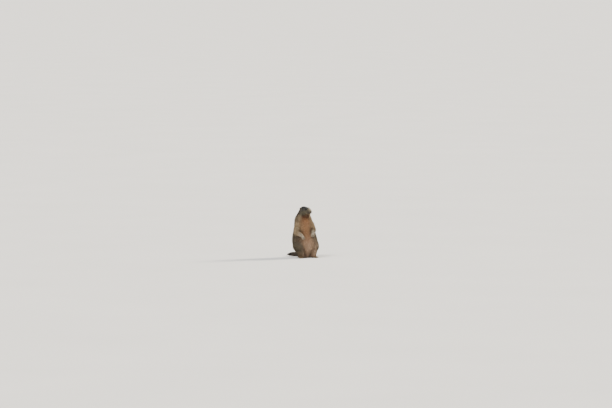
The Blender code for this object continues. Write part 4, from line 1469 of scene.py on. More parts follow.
@dataclass(frozen=True)
class ClawFinish:
    """Dark horn, paler and worn towards the tip, with fine grain."""

    name: str = "claw"
    roughness: tuple[float, float] = (0.36, 0.52)
    gloss: float = 0.25
    root: Triple = (0.014, 0.010, 0.008)
    middle: Triple = (0.022, 0.016, 0.012)
    tip: Triple = (0.085, 0.062, 0.044)

    def material(self) -> bpy.types.Material:
        """Makes the finish.

        Returns:
            The material.
        """
        made = Shading(self.name)
        stops = ((0.0, self.root), (0.6, self.middle), (1.0, self.tip))
        grain = made.noise(1500.0, 4.0)
        colour = made.times(made.ramp(made.attribute("along"), stops), made.scale(grain, 0.7, 1.3))
        made.finish(Base_Color=colour, Specular_IOR_Level=self.gloss)
        made.finish(Roughness=made.scale(grain, *self.roughness))
        made.bump(grain, 0.3, 0.1 * MM)
        return made.material


@dataclass(frozen=True)
class WhiskerFinish:
    """Black whiskers that go brown at the tip."""

    name: str = "whisker"
    roughness: float = 0.6
    gloss: float = 0.1
    root: Triple = (0.008, 0.007, 0.007)
    tip: Triple = (0.05, 0.04, 0.034)

    def material(self) -> bpy.types.Material:
        """Makes the finish.

        Returns:
            The material.
        """
        made = Shading(self.name)
        colour = made.ramp(made.attribute("along"), ((0.0, self.root), (1.0, self.tip)))
        made.finish(Base_Color=colour, Roughness=self.roughness, Specular_IOR_Level=self.gloss)
        return made.material


@dataclass(frozen=True)
class FloorFinish:
    """A pale matt studio floor."""

    name: str = "floor"
    roughness: float = 0.9
    gloss: float = 0.2
    dark: Triple = (0.70, 0.69, 0.67)
    pale: Triple = (0.74, 0.73, 0.71)

    def material(self) -> bpy.types.Material:
        """Makes the finish.

        Returns:
            The material.
        """
        made = Shading(self.name)
        colour = made.ramp(made.noise(0.8), ((0.2, self.dark), (0.8, self.pale)))
        made.finish(Base_Color=colour, Roughness=self.roughness, Specular_IOR_Level=self.gloss)
        return made.material


@dataclass
class Roots:
    """Where tufts grow: rows of place, outward way, lie and the coat's sizes there."""

    place: Array
    normal: Array
    lie: Array
    length: Array
    width: Array
    depth: Array
    tipping: Array
    pelage: Array


# A way that no bone runs along. It says on which side the seam of an unwrap lies.
SEAM_LEAN = (0.3, 1.0, 0.2)


@dataclass(frozen=True)
class Bone:
    """A line in the body's axes that a part is unwrapped round, from one end to the other."""

    start: Triple
    end: Triple

    def ends(self) -> tuple[Array, Array]:
        """Both ends in the frame."""
        return np.array(in_body(self.start)), np.array(in_body(self.end))

    def unwrap(self, points: Array) -> Array:
        """Unrolls places of the part.

        Args:
            points: The places, one a row.

        Returns:
            The angle round the line and the share along it for each, both from 0 to 1.
        """
        start, end = self.ends()
        line = end - start
        way = line / np.linalg.norm(line)
        across = unit(np.cross(way, SEAM_LEAN))
        other = np.cross(way, across)
        offset = points - start
        angle = np.arctan2(offset @ across, offset @ other)
        share = offset @ line / (line @ line)
        return np.stack([0.5 + angle / (2 * math.pi), np.clip(share, 0.0, 1.0)], axis=1)


def paired_bones(start: Triple, end: Triple) -> tuple[Bone, Bone]:
    """The same bone at the animal's left and right."""
    return tuple(Bone((s * start[0], *start[1:]), (s * end[0], *end[1:])) for s in SIDES.values())


TRUNK_BONE = Bone((0.0, 4.6, 42.0), (0.0, 1.0, 0.0))
HEAD_BONE = Bone((5.0, -2.2, 41.0), (-2.5, 7.6, 41.8))
TAIL_BONE = Bone(TAIL_PATH[0], TAIL_PATH[-1])
LEG_BONES = paired_bones((7.0, -1.0, 18.0), (6.5, -3.0, 0.0))
ARM_BONES = tuple(Bone(arm.shoulder, arm.wrist) for arm in ARMS)
PAW_BONES = (
    Bone(LEFT_ARM.wrist, (3.0, -10.6, 17.4)),
    Bone(RIGHT_ARM.wrist, (-4.6, -10.6, 15.2)),
    *paired_bones((6.0, 0.0, 1.5), (7.6, -11.0, 0.6)),
)


@dataclass(frozen=True)
class Tuft:
    """How a tuft is built: the shares along it of root, rings and tip, and the rings' fatness.

    A pointed tuft has one vertex at its root, and the others have a ring there.
    """

    shares: tuple[float, ...]
    fatness: tuple[float, ...]
    pointed: bool

    def along(self) -> Array:
        """Lists the share of the length at every vertex of a tuft.

        Returns:
            The shares, from the root's 0 to the tip's 1.
        """
        start = [0.0] if self.pointed else []
        rings = self.shares[1:-1] if self.pointed else self.shares[:-1]
        return np.array(start + [share for share in rings for _ in range(3)] + [1.0])

    def across(self) -> Array:
        """The place across the tuft of every vertex, for its patch on the unwrap."""
        start = [0.0] if self.pointed else []
        return np.array(start + [-0.5, 0.5, 0.0] * len(self.fatness) + [0.0])

    def faces(self) -> Array:
        """Lists the triangles of one tuft.

        Returns:
            Rows of three vertex numbers.
        """
        first = int(self.pointed)
        tip = first + 3 * len(self.fatness)
        found = []
        for corner in range(3):
            after = (corner + 1) % 3
            if self.pointed:
                found.append((0, first + corner, first + after))
            for low in range(first, tip - 3, 3):
                high = low + 3
                found.append((low + after, low + corner, high + corner))
                found.append((low + after, high + corner, high + after))
            found.append((tip - 3 + after, tip - 3 + corner, tip))
        if not self.pointed:
            found.append((0, 1, 2))
        return np.array(found)


SHORT = Tuft((0.0, 1.0), (1.0,), False)
LONG = Tuft((0.0, 0.4, 1.0), (1.0,), True)
BUSHY = Tuft((0.0, 0.3, 0.68, 1.0), (1.0, 0.8), True)


@dataclass(frozen=True)
class CoatPiece:
    """One piece of the coat: where it grows, how many tufts it has, and of which build."""

    name: str
    slot: str
    tufts: int
    where: Callable[[Skin], Array]
    bones: tuple[Bone, ...]
    tuft: Tuft = LONG


def on(*parts: str) -> Callable[[Skin], Array]:
    """Chooses the vertices of the named parts."""
    return lambda skin: np.isin(skin.parts, parts)


def on_face(skin: Skin) -> Array:
    """Chooses the face down to the chin."""
    return (skin.parts == "head") & in_front(skin.head, -0.8, -3.1)


def behind_face(skin: Skin) -> Array:
    """Chooses the rest of the head with its throat and ears."""
    return np.isin(skin.parts, ["head", "ear"]) & ~on_face(skin)


def on_trunk(low: float, high: float) -> Callable[[Skin], Array]:
    """Chooses a stretch round the torso.

    Args:
        low: The angle in degrees where it starts, with 0 at the front and 90 at the left.
        high: The angle where it ends.

    Returns:
        A function that chooses the skin's vertices there.
    """

    def chosen(skin: Skin) -> Array:
        """Finds what lies on the stretch.

        Args:
            skin: The skin.

        Returns:
            Whether each vertex does.
        """
        offset = skin.outer - (0.0, AXIS_Y + 2 * CM, 0.0)
        angle = np.degrees(np.arctan2(offset[:, 0], -offset[:, 1]))
        inside = (angle >= low) & (angle < high) if low < high else (angle >= low) | (angle < high)
        return (skin.parts == "torso") & inside

    return chosen


COAT = (
    CoatPiece("coat_face", "crown", 38_000, on_face, (HEAD_BONE,), SHORT),
    CoatPiece("coat_head", "crown", 31_000, behind_face, (HEAD_BONE,)),
    CoatPiece("coat_neck", "coat", 18_000, on("neck"), (TRUNK_BONE,)),
    CoatPiece("coat_chest", "belly", 29_000, on_trunk(-62, 62), (TRUNK_BONE,)),
    CoatPiece("coat_flank_left", "belly", 19_500, on_trunk(62, 140), (TRUNK_BONE,)),
    CoatPiece("coat_flank_right", "belly", 19_500, on_trunk(-140, -62), (TRUNK_BONE,)),
    CoatPiece("coat_back", "belly", 20_000, on_trunk(140, -140), (TRUNK_BONE,)),
    CoatPiece("coat_arms", "coat", 26_000, on("upper_arm", "forearm"), ARM_BONES),
    CoatPiece("coat_legs", "coat", 29_000, on("hind_leg"), LEG_BONES),
    CoatPiece("coat_paws", "foot", 34_000, on(*PAWS), PAW_BONES, SHORT),
    CoatPiece("coat_tail", "tail", 8_500, on("tail"), (TAIL_BONE,), BUSHY),
)


@dataclass
class Coat:
    """Tufts of fur over the skin: closed, three-sided and tapering, laid along the body."""

    skin: Skin
    patch: float = 0.003
    clump_size: int = 11
    pull: tuple[float, float] = (0.28, 0.7)
    sink: float = 0.7 * MM
    guard_share: float = 0.09
    guard_length: float = 1.25
    guard_width: float = 0.6
    guard_tipping: float = 2.2
    guard_height: float = 1.2
    least_lift: float = 0.24
    stray: float = 0.35
    splay: float = 0.8
    # A tuft keeps to the skin while this turns less than about 70 degrees from step to step.
    holds: float = 0.35
    floor_gap: float = 1.2 * MM
    flatness: float = 0.8
    first_seed: int = 101

    def build(self) -> None:
        """Grows every piece of the coat."""
        surface = self.skin.surface
        self.tree = surface.tree()
        self.normals = surface.normals()
        self.face_normals = unit(self.normals[surface.triangles].sum(axis=1))
        self.face_lies = unit(self.skin.lie[surface.triangles].sum(axis=1))
        finish = FurFinish().material()
        for seed, piece in enumerate(COAT, start=self.first_seed):
            obj = self.grow(piece, seed)
            obj.data.materials.append(finish)
            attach(obj, "root")
            LOG.info("%s: %d tufts, %d triangles", piece.name, piece.tufts, len(obj.data.polygons))

    def grow(self, piece: CoatPiece, seed: int) -> bpy.types.Object:
        """Makes one piece of the coat.

        Args:
            piece: The piece.
            seed: Seed of all its draws.

        Returns:
            Its object.
        """
        rng = np.random.default_rng(seed)
        roots = self.scatter(piece, rng)
        path, outs = self.comb(roots, piece.tuft.shares, rng)
        path = self.clump(path, piece.tuft.shares, rng)
        self.rest(path, outs, rng)
        points, triangles = self.shape(path, outs, roots.width, piece.tuft)
        mesh = mesh_from(piece.name, points, triangles)
        shares = piece.tuft.along()
        write_value(mesh, "along", np.tile(shares, piece.tufts))
        write_value(mesh, "chance", np.repeat(rng.random(piece.tufts), len(shares)))
        write_value(mesh, "tipping", np.repeat(roots.tipping, len(shares)))
        write_colour(mesh, "pelage", np.repeat(roots.pelage, len(shares), axis=0))
        self.unwrap(mesh, piece, roots.place, triangles)
        return new_object(piece.name, mesh)

    def scatter(self, piece: CoatPiece, rng: np.random.Generator) -> Roots:
        """Spreads a piece's roots over its share of the skin.

        Args:
            piece: The piece.
            rng: The seeded draw.

        Returns:
            The roots.
        """
        skin, surface = self.skin, self.skin.surface
        chosen = piece.where(skin)[surface.triangles[:, 0]]
        weight = surface.areas() * skin.crowd[surface.triangles].mean(axis=1) * chosen
        heap = np.cumsum(weight)
        picks = (np.arange(piece.tufts) + rng.random(piece.tufts)) / piece.tufts * heap[-1]
        face = np.minimum(np.searchsorted(heap, picks), len(weight) - 1)
        first, second = np.sqrt(rng.random(piece.tufts)), rng.random(piece.tufts)
        shares = np.stack([1 - first, first * (1 - second), first * second], axis=1)
        corners = surface.triangles[face]

        def at(values: Array) -> Array:
            """A field of the vertices at every root."""
            return np.einsum("ij,ij...->i...", shares, values[corners])

        place, length = at(surface.points), at(skin.length)
        return Roots(
            place,
            unit(at(self.normals)),
            unit(at(skin.lie)),
            length,
            at(skin.width),
            at(skin.depth),
            at(skin.tipping),
            self.strayed(place, length, rng),
        )

    def strayed(self, place: Array, length: Array, rng: np.random.Generator) -> Array:
        """Takes the coat's colour a random step away, so that markings end raggedly.

        Args:
            place: The roots.
            length: The coat's length at each.
            rng: The seeded draw.

        Returns:
            A linear colour for each root.
        """
        step = rng.normal(size=place.shape) * (self.stray * length)[:, None]
        faces = np.array([self.tree.find_nearest(point)[2] for point in (place + step).tolist()])
        return self.skin.pelage[self.skin.surface.triangles[faces]].mean(axis=1)

    def comb(self, roots: Roots, shares: Sequence[float], rng: np.random.Generator) -> tuple[Array, Array]:
        """The path of every tuft along the skin, rising to the coat's surface at its tip.

        Args:
            roots: Where the tufts grow. Their lengths, widths and tips are varied here.
            shares: The shares along a tuft of its root, rings and tip.
            rng: The seeded draw.

        Returns:
            Places by tuft and ring, and outward ways by tuft and ring.
        """
        count = len(roots.place)
        guard = rng.random(count) < self.guard_share
        roots.length *= rng.uniform(0.72, 1.08, count) * np.where(guard, self.guard_length, 1.0)
        roots.width *= rng.uniform(0.8, 1.2, count) * np.where(guard, self.guard_width, 1.0)
        darker = np.where(guard, self.guard_tipping, rng.uniform(0.4, 1.4, count))
        roots.tipping = np.clip(roots.tipping * darker, 0, 1)
        lift = np.maximum(roots.depth, self.least_lift * roots.length)
        height = lift * rng.uniform(0.55, 1.05, count) * np.where(guard, self.guard_height, 1.0)
        swerve = rng.normal(0.0, 0.16, count) + 0.22 * mottle(roots.place, 2.2 * CM, 31)
        way = unit(roots.lie + np.cross(roots.normal, roots.lie) * swerve[:, None])
        place, normal, bend = roots.place, roots.normal, way - roots.lie
        path, outs = [place - normal * self.sink], [normal]
        for before, share in zip(shares, shares[1:]):
            guess = place + way * (roots.length * (share - before))[:, None]
            found = [self.tree.find_nearest(point) for point in guess.tolist()]
            near, faces = (np.array([hit[item] for hit in found]) for item in (0, 2))
            there = self.face_normals[faces]
            holds = (np.sum(there * normal, axis=1) > self.holds)[:, None]
            place = np.where(holds, near, guess)
            normal = np.where(holds, there, normal)
            way = unit(np.where(holds, self.face_lies[faces] + bend, way))
            rise = math.sin(0.5 * math.pi * share) ** 1.1
            path.append(place + normal * (height * rise)[:, None])
            outs.append(normal)
        return np.stack(path, axis=1), np.stack(outs, axis=1)

    def clump(self, path: Array, shares: Sequence[float], rng: np.random.Generator) -> Array:
        """Draws the tips of neighbouring tufts together into locks.

        Args:
            path: Places by tuft and ring.
            shares: The shares along a tuft of its root, rings and tip.
            rng: The seeded draw.

        Returns:
            The new places.
        """
        count = len(path)
        leaders = rng.permutation(count)[: max(1, count // self.clump_size)]
        tree = KDTree(len(leaders))
        for number, leader in enumerate(leaders):
            tree.insert(path[leader, 0], number)
        tree.balance()
        lead = leaders[[tree.find(place)[1] for place in path[:, 0].tolist()]]
        pull = rng.uniform(*self.pull, count)[:, None, None] * np.array(shares)[None, :, None] ** 1.4
        return path + (path[lead] - path) * pull

    def rest(self, path: Array, outs: Array, rng: np.random.Generator) -> None:
        """Lifts what lies under the floor, and splays it outwards as it is lifted.

        Args:
            path: Places by tuft and ring, which are changed.
            outs: Outward ways by tuft and ring.
            rng: The seeded draw.
        """
        low = FLOOR + self.floor_gap * rng.random(path.shape[:2])
        below = np.maximum(low - path[:, :, 2], 0.0)
        path[:, :, :2] += outs[:, :, :2] * (self.splay * below)[:, :, None]
        path[:, :, 2] += below

    def shape(self, path: Array, outs: Array, width: Array, tuft: Tuft) -> tuple[Array, Array]:
        """Points and triangles of all tufts of a piece.

        Args:
            path: Places by tuft and by step along it.
            outs: Outward ways by tuft and step.
            width: Each tuft's width.
            tuft: How a tuft is built.

        Returns:
            Points, and the triangles' corner numbers.
        """
        count, first = len(path), int(tuft.pointed)
        each = first + 3 * len(tuft.fatness) + 1
        points = np.empty((count, each, 3))
        points[:, 0] = path[:, 0]
        for ring, fatness in enumerate(tuft.fatness):
            step = ring + first
            ahead = unit(path[:, step + 1] - path[:, max(step - 1, 0)])
            side = unit(np.cross(ahead, outs[:, step]))
            half = (width * fatness / 2)[:, None]
            low = first + 3 * ring
            points[:, low] = path[:, step] - side * half
            points[:, low + 1] = path[:, step] + side * half
            points[:, low + 2] = path[:, step] + np.cross(side, ahead) * half * self.flatness
        points[:, -1] = path[:, -1]
        starts = np.arange(count)[:, None, None] * each
        return points.reshape(-1, 3), (tuft.faces()[None] + starts).reshape(-1, 3)

    def unwrap(self, mesh: bpy.types.Mesh, piece: CoatPiece, places: Array, triangles: Array) -> None:
        """Lays each tuft as a small patch at its root's place on an unwrap of the skin.

        Args:
            mesh: The piece's mesh, which takes the map.
            piece: The piece, with the bones that it is unwrapped round.
            places: The roots.
            triangles: The corner numbers of the mesh.
        """
        gaps = [segment_distance(places, *bone.ends()) for bone in piece.bones]
        owner = np.argmin(np.stack(gaps), axis=0)
        spots = np.empty((len(places), 2))
        for number, bone in enumerate(piece.bones):
            mine = owner == number
            spots[mine] = bone.unwrap(places[mine])
        margin = self.patch
        spots[:, 0] = (owner + margin + spots[:, 0] * (1 - 2 * margin)) / len(piece.bones)
        low, high = spots[:, 1].min(), spots[:, 1].max()
        spots[:, 1] = margin + (spots[:, 1] - low) / (high - low) * (1 - 2 * margin)
        offset = np.stack([piece.tuft.across(), piece.tuft.along() - 0.5], axis=1) * self.patch
        corner_spots = (spots[:, None, :] + offset[None]).reshape(-1, 2)[triangles.ravel()]
        layer = mesh.uv_layers.new(name="OFBake")
        layer.data.foreach_set("uv", np.ascontiguousarray(corner_spots, np.float32).ravel())


def finish_piece(
    shape: bmesh.types.BMesh, name: str, material: bpy.types.Material, slot: str, *nodes: str
) -> bpy.types.Object:
    """Turns a bmesh into a piece of the model.

    Args:
        shape: The bmesh, which is freed.
        name: The piece's name.
        material: Its finish.
        slot: The record's material slot for it; not used.
        nodes: The nodes that it stands for, if any.

    Returns:
        The piece's object.
    """
    bmesh.ops.recalc_face_normals(shape, faces=shape.faces)
    mesh = bpy.data.meshes.new(name)
    shape.to_mesh(mesh)
    shape.free()
    mesh.shade_smooth()
    mesh.materials.append(material)
    obj = new_object(name, mesh)
    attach(obj, "root")
    if nodes:
        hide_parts(*nodes)
    return obj


@dataclass
class Eye:
    """One eyeball with its two lids, and the opening between them in degrees from its middle."""

    side: str
    segments: int = 48
    wide: float = 56.0
    upper: float = 40.0
    lower: float = 45.0
    # The opening's outline is a little squarer than an ellipse, which would have 2 here.
    square: float = 2.2
    corner: float = 10.0
    corner_width: float = 13.0
    gaze_scale: float = 1.6
    # The way out of the head, blended from a set look and from the surface round the eye.
    look: Triple = (0.86, -0.42, 0.28)
    look_share: float = 0.6
    around: tuple[float, float] = (9.5 * MM, 16 * MM)
    # Each ring's rise over the eyeball in millimetres, its way out in degrees, and how bare it is.
    lid_rings: tuple[Triple, ...] = (
        (0.08, 0.0, 1.0),
        (0.3, -0.3, 1.0),
        (0.48, 2.0, 1.0),
        (0.5, 6.0, 0.8),
        (0.4, 10.0, 0.3),
        (0.1, 15.0, 0.0),
        (-0.4, 22.0, 0.0),
        (-0.6, 10.0, 0.0),
    )

    def build(self) -> None:
        """Makes the eyeball and the lids."""
        self.centre = middle(f"eye_{self.side}")
        self.radius = half_width(f"eye_{self.side}")
        self.outward = self._outward()
        self.turn = self._turn()
        self._ball()
        self._lids()

    def _outward(self) -> Vector:
        """Finds the way out of the head at the eye.

        Returns:
            The way, with a length of one.
        """
        solid = Surface(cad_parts["head"].data)
        gap = np.linalg.norm(solid.points - np.array(self.centre), axis=1)
        low, high = self.around
        around = unit(solid.normals()[(gap > low) & (gap < high)].sum(axis=0))
        across, forward, up = self.look
        look = HEAD.way((SIDES[self.side] * across, forward, up))
        return (look * self.look_share + Vector(around) * (1 - self.look_share)).normalized()

    def _turn(self) -> Matrix:
        """Finds the eye's axes.

        Returns:
            A turn whose Z looks out of the head, and whose Y leans up.
        """
        z = self.outward.normalized()
        x = HEAD.way((0, -0.25, 1)).cross(z).normalized()
        return Matrix((x, z.cross(x), z)).transposed()

    def _ball(self) -> None:
        """The eyeball, with the angle from the pupil stored on it."""
        shape = bmesh.new()
        bmesh.ops.create_uvsphere(
            shape,
            u_segments=self.segments,
            v_segments=self.segments // 2,
            radius=self.radius,
            matrix=Matrix.Translation(self.centre) @ self.turn.to_4x4(),
        )
        name = f"eyeball_{self.side}"
        obj = finish_piece(shape, name, EyeFinish().material(), "eye", f"eye_{self.side}")
        offsets = np.array([vertex.co - self.centre for vertex in obj.data.vertices])
        angle = np.arccos(np.clip(unit(offsets) @ np.array(self.outward), -1, 1))
        write_value(obj.data, "gaze", angle / math.pi * self.gaze_scale)

    def _opening(self, angle: float) -> float:
        """How far the opening reaches at an angle round the eye's middle.

        Args:
            angle: The angle in the eye's own turn.

        Returns:
            The reach in degrees from the middle.
        """
        across, tall = math.cos(angle), math.sin(angle)
        half = self.upper if tall > 0 else self.lower
        power = self.square
        reach = ((abs(across) / self.wide) ** power + (abs(tall) / half) ** power) ** (-1 / power)
        nose_side = HEAD.way((0, -1, -0.25))
        inner = math.atan2(nose_side.dot(self.turn.col[1]), nose_side.dot(self.turn.col[0]))
        off = math.degrees(abs((angle - inner + math.pi) % (2 * math.pi) - math.pi))
        return reach + self.corner * math.exp(-((off / self.corner_width) ** 2))

    def _lids(self) -> None:
        """Upper and lower lid as one closed fold round the opening."""
        shape = bmesh.new()
        loops = []
        for rise, spread, _ in self.lid_rings:
            ring = bmesh.ops.create_circle(shape, segments=self.segments, radius=1.0)["verts"]
            loops.append(list(shape.edges)[-self.segments :])
            for vertex in ring:
                angle = math.atan2(vertex.co.y, vertex.co.x)
                polar = math.radians(self._opening(angle) + spread)
                out = Matrix.Rotation(angle, 3, "Z") @ Vector((math.sin(polar), 0.0, math.cos(polar)))
                vertex.co = self.centre + self.turn @ out * (self.radius + rise * MM)
        for loop, after in zip(loops, loops[1:] + loops[:1]):
            bmesh.ops.bridge_loops(shape, edges=loop + after)
        obj = finish_piece(shape, f"lids_{self.side}", SkinFinish("lid").material(), "crown")
        write_value(obj.data, "bare", np.repeat([bare for _, _, bare in self.lid_rings], self.segments))
        write_colour(obj.data, "pelage", np.tile(Tint.CROWN.linear, (len(obj.data.vertices), 1)))


@dataclass
class Nose:
    """The bare nose pad with two comma-shaped nostrils and the groove between them, in millimetres."""

    subdivisions: int = 5
    half: Triple = (8.2, 5.2, 5.9)
    # Shares by which the pad is wider at its top and narrower at its foot.
    top_share: float = 0.12
    foot_share: float = 0.30
    # The front of the pad is flatter than a ball.
    flat: float = 0.9
    nostril: tuple[float, float] = (3.6, -0.7)
    nostril_size: float = 1.35
    nostril_half: tuple[float, float] = (1.5, 0.75)
    nostril_slant: float = 0.45
    nostril_depth: float = 3.2
    # How dark the painted shade in a nostril is for its depth.
    nostril_dark: float = 1.6
    wing: float = 0.7
    wing_place: float = 1.7
    wing_width: float = 0.35
    groove: float = 0.7
    groove_width: float = 0.5
    groove_top: float = 1.5

    def build(self) -> None:
        """Makes the nose in place of its node."""
        shape = bmesh.new()
        bmesh.ops.create_icosphere(shape, subdivisions=self.subdivisions, radius=1.0)
        depths = []
        for vertex in shape.verts:
            vertex.co, depth = self._form(Vector(vertex.co))
            depths.append(depth)
        where = Matrix.Translation(middle("nose")) @ HEAD.turn.to_4x4()
        bmesh.ops.transform(shape, verts=shape.verts, matrix=where)
        every_axis = {"use_axis_x": True, "use_axis_y": True, "use_axis_z": True}
        bmesh.ops.smooth_vert(shape, verts=shape.verts, factor=0.5, **every_axis)
        obj = finish_piece(shape, "nose_pad", NoseFinish().material(), "nose", "nose")
        # How deep each point lies in a nostril, which sets the painted shade there.
        write_value(obj.data, "nostril_and_shade", np.array(depths))

    def _form(self, out: Vector) -> tuple[Vector, float]:
        """Shapes a point of the unit ball into the pad.

        Args:
            out: A point of the unit ball, with the nose's front towards -Y.

        Returns:
            Its place in metres in the head's turn, and how deep it is in a nostril, from 0 to 1, which sets
            the painted shade there.
        """
        wide, deep, tall = self.half
        across = abs(out.x) * wide
        x, y, z = out.x * wide, out.y * deep, out.z * tall
        x *= 1.0 + self.top_share * max(0.0, out.z) - self.foot_share * max(0.0, -out.z)
        front = max(0.0, -out.y)
        y += self.flat * front**3
        hole_x, hole_z = self.nostril
        half_x, half_z = self.nostril_half
        slant = (across - hole_x) * self.nostril_slant
        off = math.hypot((across - hole_x) / half_x, (z - hole_z - slant) / half_z) / self.nostril_size
        nostril_and_shade = math.exp(-(off**2))
        wing = self.wing * math.exp(-((off - self.wing_place) ** 2) / self.wing_width)
        y += front * (self.nostril_depth * nostril_and_shade - wing)
        fade = math.exp(-(max(0.0, z - self.groove_top) ** 2))
        y += front * self.groove * math.exp(-((x / self.groove_width) ** 2)) * fade
        return Vector((x, y, z)) * MM, min(1.0, self.nostril_dark * nostril_and_shade * front)


@dataclass
class Claws:
    """The claws, each rounder and finer than its solid and in the same place."""

    swell: float = 0.35 * MM
    flat: float = 0.7
    levels: int = 2

    def build(self) -> None:
        """Makes all claws."""
        material = ClawFinish().material()
        for node, paw in claw_nodes():
            shape = merged_copy(node, self.swell)
            limits = {"angle_face_threshold": self.flat, "angle_shape_threshold": self.flat}
            bmesh.ops.join_triangles(shape, faces=shape.faces, **limits)
            obj = finish_piece(shape, node.replace("claw", "horn"), material, "claw", node)
            rounder = obj.modifiers.new("Rounder", "SUBSURF")
            rounder.levels = rounder.render_levels = self.levels
            settle(obj)
            gap = np.linalg.norm(Surface(obj.data).points - np.array(middle(paw)), axis=1)
            write_value(obj.data, "along", (gap - gap.min()) / np.ptp(gap))
            obj.data.shade_smooth()


@dataclass
class Whiskers:
    """Stiff hairs in rows on the upper lip, with a few over the eyes and on the cheeks."""

    skin: Skin
    rows: int = 4
    in_row: int = 5
    brow_hairs: int = 4
    cheek_hairs: int = 3
    # Lengths in millimetres.
    shortest: float = 24.0
    longest: float = 58.0
    brow_length: float = 15.0
    cheek_length: float = 24.0
    radius: float = 0.15 * MM
    tip_share: float = 0.1
    root_depth: float = 1.0 * MM
    steps: int = 8
    sides: int = 4
    # A whisker's end lies this far back and down from its first way, as shares of its length.
    back: float = 0.24
    down: float = 0.15
    seed: int = 7

    def build(self) -> None:
        """Makes all whiskers as one joined mesh."""
        rng = np.random.default_rng(self.seed)
        self.tree = self.skin.surface.tree()
        self.shape = bmesh.new()
        self.layer = self.shape.verts.layers.float.new("along")
        for sign in SIDES.values():
            for row in range(self.rows):
                for number in range(self.in_row):
                    share = number / (self.in_row - 1)
                    spot = (sign * 1.2, -6.35 + 1.5 * share, -0.25 - 0.36 * row + 0.1 * share)
                    out = (sign * 0.86, -0.42 + 0.55 * share, -0.10 - 0.12 * row)
                    size = self.shortest + (self.longest - self.shortest) * share
                    self._hair(spot, out, size * rng.uniform(0.85, 1.1))
            for number in range(self.brow_hairs):
                spot = (sign * (1.9 + 0.22 * number), -3.1 + 0.3 * number, 3.0)
                self._hair(spot, (sign * 0.6, 0.25, 0.5), self.brow_length * rng.uniform(0.7, 1.1))
            for number in range(self.cheek_hairs):
                spot = (sign * 3.6, -1.2 + 0.5 * number, -1.2 - 0.2 * number)
                self._hair(spot, (sign * 0.9, 0.3, -0.25), self.cheek_length * rng.uniform(0.7, 1.1))
        finish_piece(self.shape, "whiskers", WhiskerFinish().material(), "crown")

    def _hair(self, spot: Sequence[float], out: Sequence[float], length: float) -> None:
        """Adds one whisker: a thin cone that leaves the skin near a spot and bends back and down.

        Args:
            spot: A place near its root, in the head's axes.
            out: The way that it leaves the skin, in the head's axes.
            length: Its length in millimetres.
        """
        shape = self.shape
        root = self.tree.find_nearest(HEAD.world(spot))[0]
        way, back = HEAD.way(out), HEAD.way((0, 1, 0))
        bend = back * self.back + Vector((0, 0, -self.down))
        side = way.cross(back).normalized()
        known = len(shape.verts)
        bmesh.ops.create_cone(
            shape,
            cap_ends=True,
            segments=self.sides,
            radius1=self.radius,
            radius2=self.tip_share * self.radius,
            depth=1.0,
        )
        cone = list(shape.verts)[known:]
        edges = [edge for edge in shape.edges if edge.verts[0] in cone and self._is_long(edge)]
        bmesh.ops.subdivide_edges(shape, edges=edges, cuts=self.steps - 1)
        for vertex in list(shape.verts)[known:]:
            share = vertex.co.z + 0.5
            across = side * vertex.co.x + side.cross(way) * vertex.co.y
            reach = (way * share + bend * share**2) * length * MM
            vertex.co = root - way * self.root_depth + reach + across
            vertex[self.layer] = share

    @staticmethod
    def _is_long(edge: bmesh.types.BMEdge) -> bool:
        """Whether an edge runs along a new cone."""
        return abs(edge.verts[0].co.z - edge.verts[1].co.z) > 0.5


@dataclass(frozen=True)
class Lamp:
    """A soft far lamp: its energy, and its width, azimuth and height in degrees."""

    name: str
    energy: float
    width: float
    azimuth: float
    height: float
    colour: Triple

    def build(self) -> None:
        """Makes the lamp."""
        data = bpy.data.lights.new(self.name, "SUN")
        data.energy = self.energy
        data.angle = math.radians(self.width)
        data.color = self.colour
        lamp = new_object(self.name, data)
        to_lamp = way_from_body(math.radians(self.azimuth), math.radians(self.height))
        lamp.rotation_mode = "QUATERNION"
        lamp.rotation_quaternion = to_lamp.to_track_quat("Z", "Y")


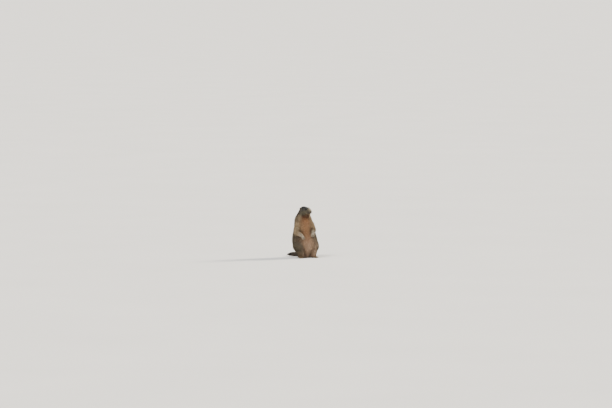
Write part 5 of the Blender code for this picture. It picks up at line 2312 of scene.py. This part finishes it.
@dataclass
class Studio:
    """A pale floor, soft light and the camera at the photograph's angle."""

    azimuth: float = math.radians(-21)
    elevation: float = math.radians(4)
    distance: float = 30.6
    lens: float = 200.0
    sensor: float = 36.0
    clip_start: float = 0.1
    # The body's axis on the floor stands in the frame this far from its middle, in metres.
    right_of_middle: float = -0.007
    below_middle: float = 0.4806
    floor_size: float = 900.0
    sky: tuple[float, ...] = (0.92, 0.94, 0.97, 1.0)
    sky_strength: float = 0.8
    # A soft key from the front left, and a warm rim from behind.
    lamps: tuple[Lamp, ...] = (
        Lamp("key", 3.0, 20, -64, 55, (1.0, 0.97, 0.92)),
        Lamp("rim", 8.5, 12, 98, 25, (1.0, 0.91, 0.76)),
    )

    def build(self) -> None:
        """Makes floor, light and camera."""
        self._floor()
        self._surroundings()
        for lamp in self.lamps:
            lamp.build()
        self._camera()

    def _floor(self) -> None:
        """One large level sheet."""
        shape = bmesh.new()
        bmesh.ops.create_grid(shape, x_segments=1, y_segments=1, size=self.floor_size / 2)
        mesh = bpy.data.meshes.new("floor")
        shape.to_mesh(mesh)
        shape.free()
        mesh.materials.append(FloorFinish().material())
        new_object("floor", mesh)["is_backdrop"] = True

    def _surroundings(self) -> None:
        """Even pale light from all round."""
        world = bpy.data.worlds.new("studio")
        bpy.context.scene.world = world
        world.use_nodes = True
        background = world.node_tree.nodes["Background"]
        background.inputs["Color"].default_value = self.sky
        background.inputs["Strength"].default_value = self.sky_strength

    def _camera(self) -> None:
        """A long lens from the front, a little to the animal's right and above it."""
        data = bpy.data.cameras.new("camera")
        data.lens = self.lens
        data.sensor_width = self.sensor
        data.clip_start = self.clip_start
        data.clip_end = 2 * self.floor_size
        camera = new_object("camera", data)
        back = way_from_body(self.azimuth, self.elevation)
        turn = back.to_track_quat("Z", "Y")
        right, up = turn @ Vector((1, 0, 0)), turn @ Vector((0, 1, 0))
        aim = in_body((0, 0, 0)) - right * self.right_of_middle + up * self.below_middle
        camera.rotation_mode = "QUATERNION"
        camera.rotation_quaternion = turn
        camera.location = aim + back * self.distance
        bpy.context.scene.camera = camera


def write_sizes() -> None:
    """Measures the visual model's box and sets it beside the solids' box, but keeps neither."""
    boxes = {"cad": CAD_BOX, "visual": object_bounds()}
    {name: [list(corner) for corner in box] for name, box in boxes.items()}


def main() -> None:
    """Builds skin, coat, eyes, nose, claws and whiskers, and the studio round them."""
    logging.basicConfig(level=logging.INFO, format="%(message)s")
    skin = Skin()
    skin.build()
    LOG.info("skin: %d triangles", len(skin.surface.triangles))
    Coat(skin).build()
    for side in SIDES:
        Eye(side).build()
        LOG.info("eye and lids: %s", side)
    for piece in (Nose(), Claws(), Whiskers(skin), Studio()):
        piece.build()
        LOG.info("%s", type(piece).__name__.lower())
    write_sizes()


if __name__ == "__main__":
    main()
